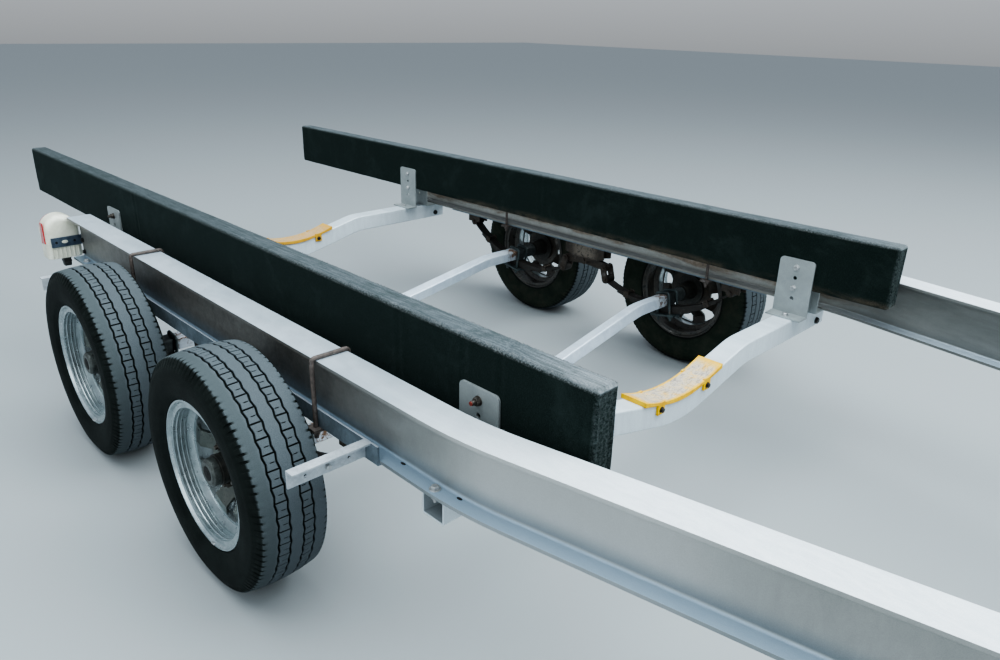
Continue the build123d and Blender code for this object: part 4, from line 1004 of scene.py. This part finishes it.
def make_bracket_bolts():
    """Bolts through the bunks and their brackets, at the first and third holes; the rest stay open."""
    heads, nuts, red = bmesh.new(), bmesh.new(), bmesh.new()
    plate = BUNK_HALF + 0.006
    for (name, station), (side, sign), drop in product(MEMBERS.items(), SIDES.items(), (0, 0.076)):
        z = RAIL_BOTTOM + 0.178 - drop
        outer = at(station, sign * (BUNK_Y + plate), z)
        nut_and_thread(nuts, outer, (0, sign, 0), 6.2, 11)
        bolt_head(heads, at(station, sign * (BUNK_Y - plate), z), (0, -sign, 0), 5.8)
        if (name, side, drop) == ("front", "right", 0):
            lathe(red, outer + Vector((0, sign * 0.0229, 0)), (0, sign, 0), [(5.5, 0), (5, 1.4), (0, 1.4)])
    new_piece("bracket_bolts", heads, "bolt_zinc")
    new_piece("bracket_nuts", nuts, "nut_steel")
    new_piece("bracket_bolt_end", red, "red_thread")


def make_frame_bolts():
    """Bolts of the cross-members, the bunk brackets' feet and the fender brackets, and painted shade in open holes.
    """
    bolts, black, holes = bmesh.new(), bmesh.new(), bmesh.new()
    for station, sign, end in product(MEMBER_STATIONS, BOTH, BOTH):
        spot = at(station - 0.004 + end * 0.012, sign * (rail_centre(station) + end * 0.026), FLANGE_TOP)
        bolted(bolts, spot, (0, 0, 1), 5.6, 14, 9, phase=0.3 + end, collar=2.5)
    for station, sign, end in product(MEMBERS.values(), BOTH, BOTH):
        foot = at(station, sign * (BUNK_Y + end * (BUNK_HALF + 0.036)), RAIL_BOTTOM + 0.006)
        bolt_head(bolts, foot, (0, 0, 1), 5.5)
        bolt_head(black, at(station + end * 0.0445, sign * 0.1235, 0.416), (end, 0, 0), 4.8)
    for sign in BOTH:
        for station, ahead in ((0.42, 1), (-1.346, -1)):
            bolted(bolts, at(station, sign * BRACKET_HOLE_Y, BRACKET_HOLE_Z), (ahead, 0, 0), 4.2, 5, 8)
        for station in MEMBERS.values():
            bolt_head(black, at(station + 0.0375, sign * 0.89, RAIL_BOTTOM - 0.052), (1, 0, 0), 6.6)
        for z in (0.566, 0.516):
            bolt_head(black, at(-1.672, sign * 0.9255, z), (0, sign, 0), 5.2)
        for station in (0.712, 0.518, -1.51):
            # Painted shade: flat black ovals for the dark inside of the rail's open holes.
            mark(holes, at(station, sign * (rail_centre(station) + 0.014), FLANGE_TOP), (0, 0, 1), 8.5, 4.2)
        mark(holes, at(0.735, sign * (rail_centre(0.735) + 0.0036), 0.648), (0, sign, 0), 3, 3)
    new_piece("frame_bolts", bolts, "bolt_zinc")
    new_piece("black_bolts", black, "black_steel")
    new_piece("rail_hole_shades", holes, "hole_black")


def make_spring_details():
    """Rebound clips round the leaves, and the springs' centre bolts."""
    clips, pins = bmesh.new(), bmesh.new()
    arc, seat = 0.62005, -0.0315
    for (axle, lean), sign in product((("front", 9.4), ("rear", -9.4)), BOTH):
        spot = Matrix.Translation(at(AXLES[axle], sign * RAIL_Y, AXLE_Z))
        spot @= Matrix.Rotation(radians(-lean), 4, "Y")
        for end in BOTH:
            turn = Matrix.Rotation(radians(-19.5 * end), 4, "Y")
            clip = spot @ Matrix.Translation((0, 0, seat + arc)) @ turn
            start = len(clips.verts)
            box(clips, (-0.013, -0.0265, -arc - 0.0185), (0.013, 0.0265, -arc - 0.0155))
            for row in BOTH:
                low, high = sorted((row * 0.023, row * 0.026))
                box(clips, (-0.013, low, -arc - 0.018), (0.013, high, -arc + 0.012))
            lathe(clips, (0, -0.029, -arc + 0.0065), (0, 1, 0), [(0, 0), (4.2, 0), (4.2, 58), (0, 58)], 12)
            clips.verts.ensure_lookup_table()
            for vert in clips.verts[start:]:
                vert.co = clip @ vert.co
        pin = [(6.5, 0), (6.5, 12), (5, 14), (0, 14)]
        lathe(pins, spot @ Vector((0, 0, seat - 0.04)), (0, 0, -1), pin, 12)
    new_piece("rebound_clips", clips, "hanger_metal")
    new_piece("spring_centre_bolts", pins, "nut_steel")


MARKER = ((-0.014, 0.648), (-0.042, 0.648), (-0.064, 0.556), (-0.016, 0.562))
MARKER_MIDDLE = (-0.034, 0.604)
LAMP_PLUG = [
    (22.5, 0), (22.5, 8), (20, 10), (20, 16), (21.5, 18), (21.5, 26), (19, 28), (19, 38), (16.5, 43), (0, 44),
]


def make_light_details():
    """Ribs on each lamp's skirt, painted shade in the holes of its bar, a side marker and a rubber plug for the
    wires.
    """
    ribs, holes, slots, markers, plugs = (bmesh.new() for _ in range(5))
    face = SHIFT + LAMP_FACE
    for sign in BOTH:
        for k in range(7):
            y = sign * (0.942 + 0.0165 * k)
            box(ribs, (face - 0.001, y - 0.0022, 0.5005), (face + 0.0026, y + 0.0022, 0.544), 0.0012)
        for y in (1.022, 0.953):
            # Painted shade: black ovals for the bar's open holes.
            mark(holes, Vector((face + 0.005, sign * y, 0.566)), (1, 0, 0), 5.2, 5.2, (0, 1, 0))
        mark(slots, Vector((face + 0.005, sign * 0.99, 0.566)), (1, 0, 0), 12, 7, (0, 1, 0))
        loft(markers, [
            [
                Vector((
                    face + x - copysign(inset, x - MARKER_MIDDLE[0]), sign * (1.057 + out),
                    z - copysign(inset, z - MARKER_MIDDLE[1]),
                ))
                for x, z in MARKER
            ]
            for out, inset in ((-0.001, 0), (0.0016, 0), (0.0026, 0.0014))
        ])
        lathe(plugs, Vector((face - 0.038, sign * 0.985, 0.4975)), (0, 0, -1), LAMP_PLUG, 4, pi / 4)
    new_piece("lamp_ribs", ribs, "cream_plastic")
    new_piece("lamp_bar_hole_shades", holes, "hole_black")
    new_piece("lamp_bar_slots", slots, "cream_plastic")
    new_piece("side_markers", markers, "red_lens")
    new_piece("lamp_plugs", plugs, "black_rubber")


TONGUE_HALF = 0.044
HOOP_RADIUS = 5.5


def make_tongue_details():
    """U-bolts, bolts, welds and winch gears at the front end."""
    bars, welds, gears = bmesh.new(), bmesh.new(), bmesh.new()
    low = TONGUE_BOTTOM - HOOP_RADIUS * MM
    hoops = [(station, 0.022, RAIL_BOTTOM) for station in (MIDDLE_MEMBER, TONGUE_MEMBER)]
    hoops.append((POST, 0.062, TONGUE_TOP + 0.008))
    for (station, spread, top), end in product(hoops, BOTH):
        place = station + end * spread
        path = ((-TONGUE_HALF, TONGUE_TOP), (-TONGUE_HALF, low), (TONGUE_HALF, low), (TONGUE_HALF, TONGUE_TOP))
        bent_bar(bars, rounded([at(place, y, z) for y, z in path], 0.014), HOOP_RADIUS)
        for sign in BOTH:
            nut_and_thread(bars, at(place, sign * TONGUE_HALF, top), (0, 0, 1), HOOP_RADIUS, 14)
    for station in (4.975, 5.06):
        bolted(bars, at(station, -0.043, 0.383), (0, -1, 0), 6, 86, 9)
    for ahead, end in product(BOTH, BOTH):
        bolted(bars, at(JACK + ahead * 0.046, 0.046, 0.361 + end * 0.039), (0, 1, 0), 5.2, 84, 8)
    for sign in BOTH:
        for station, y, z, radius in (
            (5.15, 0.013, 0.434, 4.6), (3.84, 0.025, 1.05, 5.8),
            (POST - 0.04, 0.05, 1.222, 4.5), (POST + 0.04, 0.05, 1.222, 4.5),
        ):
            bolt_head(bars, at(station, sign * y, z), (0, sign, 0), radius)
        nut_and_thread(bars, at(3.73, sign * 0.0713, 1.08), (0, sign, 0), 7.4, 0)
        bent_bar(bars, [at(POST + sign * 0.04, -0.045, 1.222), at(POST + sign * 0.04, 0.045, 1.222)], 4.8)
    new_piece("tongue_bolts", bars, "bolt_zinc")
    foot = TONGUE_TOP + 0.009
    for sign in BOTH:
        for start, end, y, z in ((3.823, 3.897, 0.026, foot), (4.105, 4.145, 0.02, TONGUE_TOP + 0.001)):
            weld(welds, at(start, sign * y, z), at(end, sign * y, z))
        for station, y, low, high, radius in ((3.899, 0.02, 0.795, 0.842, 3.5), (4.944, 0.039, 0.345, 0.408, 2.8)):
            weld(welds, at(station, sign * y, low), at(station, sign * y, high), radius)
        weld(welds, at(POST + sign * 0.039, -0.024, foot), at(POST + sign * 0.039, 0.024, foot))
    new_piece("welds", welds, "galvanised_steel")
    toothed(gears, at(POST, -0.0502, WINCH_Z), (0, -1, 0), 40, 45, 30, 5.5)
    toothed(gears, at(POST, 0.04, WINCH_Z), (0, 1, 0), 30, 36, 18, 4)
    pawl = [at(POST + x, -0.0535, WINCH_Z + z) for x, z in ((0.058, 0.018), (0.05, 0.04), (0.03, 0.044))]
    bent_bar(gears, rounded(pawl, 0.008), 4.2)
    bolt_head(gears, at(POST + 0.058, -0.05, WINCH_Z + 0.018), (0, -1, 0), 4.5)
    new_piece("winch_gears", gears, "nut_steel")


def grip_sleeve(name, place, length, body):
    """A plastic sleeve with finger rings over a crank's grip."""
    build = bmesh.new()
    profile = [(13.4, 0), (14.8, 1)]
    for k in range(1, 8):
        spot = length * k / 8
        profile += [(15.4, spot - 3), (14.3, spot), (15.4, spot + 3)]
    profile += [(15.2, length - 2), (12, length + 0.8), (0, length + 0.8)]
    lathe(build, place, (0, 1, 0), profile, 28)
    new_piece(name, build, "black_rubber", body)


CRANK_REACH = 0.2
JACK_CAP = [(28, 0), (26.2, 1.2), (10, 1.6), (5.5, 1.8), (5, 5), (3, 7), (0, 7)]
JACK_COLLAR = [(28.6, 0), (31, 1), (31, 9), (28.6, 10)]
PULL_PIN = [(7, 0), (7, 7), (3.2, 8), (3.2, 15), (8, 16), (8, 20), (0, 21)]


def make_cranks_and_jack():
    """Grips on both cranks, a pull pin and cap screws on the jack, ribs on its foot."""
    turn = radians(62)
    grip = at(POST + CRANK_REACH * cos(turn), 0.068, WINCH_Z - CRANK_REACH * sin(turn))
    grip_sleeve("winch_grip", grip, 94, "trailer")
    grip_sleeve("jack_grip", at(JACK, 0.15, 0.727), 90, "jack_tube")
    build = bmesh.new()
    for c, s in circle(3, 0.4):
        way = Vector((c, s, 0))
        bolt_head(build, at(JACK, JACK_Y, 0.815) + way * 0.0322, way, 2.8)
    lathe(build, at(JACK, JACK_Y, 0.83), (0, 0, 1), JACK_CAP)
    lathe(build, at(JACK, JACK_Y, 0.3), (0, 0, 1), JACK_COLLAR, 40)
    lathe(build, at(JACK + 0.024, 0.056, 0.38), (0, 1, 0), PULL_PIN)
    new_piece("jack_fittings", build, "nut_steel", "jack_tube")
    build = bmesh.new()
    foot = at(JACK, JACK_Y, 0.0075)
    for c, s in circle(4, pi / 4):
        way, half = Vector((c, s, 0)), Vector((-s, c, 0)) * 0.0025
        root, tip = foot + way * 0.0235, foot + way * 0.048
        top = root + Vector((0, 0, 0.0115))
        loft(build, [[point + half * n for point in (root, tip, top)] for n in (-1, 1)])
    new_piece("jack_foot_ribs", build, "jack_zinc", "jack_leg")


make_bracket_bolts()
make_frame_bolts()
make_spring_details()
make_light_details()
make_tongue_details()
make_cranks_and_jack()


# Studio: a pale sky, a pale floor and three soft lamps


def make_sky():
    world = bpy.data.worlds.new("studio")
    bpy.context.scene.world = world
    world.use_nodes = True
    sky = Nodes(world.node_tree)
    height = sky.make("SeparateXYZ", {0: sky.make("TexCoord", output="Generated")}, "Z")
    colour = sky.ramp(
        sky.plus(sky.times(height, 0.5), 0.5),
        (0.46, (0.3, 0.31, 0.32)), (0.54, (0.62, 0.66, 0.7)), (0.85, (0.8, 0.9, 1)),
    )
    background = sky.tree.nodes["Background"].inputs
    sky.feed(background["Color"], colour)
    sky.feed(background["Strength"], 0.8)


def make_floor():
    bpy.ops.mesh.primitive_plane_add(size=80)
    floor = bpy.context.object
    floor.name = "floor"
    Surface("pale_floor").shade((0.29, 0.313, 0.324), 0.85)
    floor.data.materials.append(LOOKS["pale_floor"])


def add_softbox(name, place, target, size, power, colour):
    lamp = bpy.data.objects.new(name, bpy.data.lights.new(name, "AREA"))
    lamp.data.shape = "RECTANGLE"
    lamp.data.size, lamp.data.size_y = size
    lamp.data.energy = power
    lamp.data.color = colour
    lamp.location = place
    lamp.rotation_euler = (Vector(target) - Vector(place)).to_track_quat("-Z", "Y").to_euler()
    bpy.context.scene.collection.objects.link(lamp)


bpy.context.scene.view_settings.look = "AgX - Medium High Contrast"
make_sky()
make_floor()
add_softbox("key", (3.5, 3.5, 6.5), (-0.8, 0, 0.3), (5, 5), 560, (0.91, 0.985, 1))
add_softbox("overhead", (-0.6, -0.8, 7.5), (-1, -0.2, 0.3), (9, 7), 980, (0.87, 0.97, 1))
add_softbox("fill", (1.5, -6.5, 3.5), (-1, -0.5, 0.4), (5, 4), 165, (0.88, 0.98, 1))
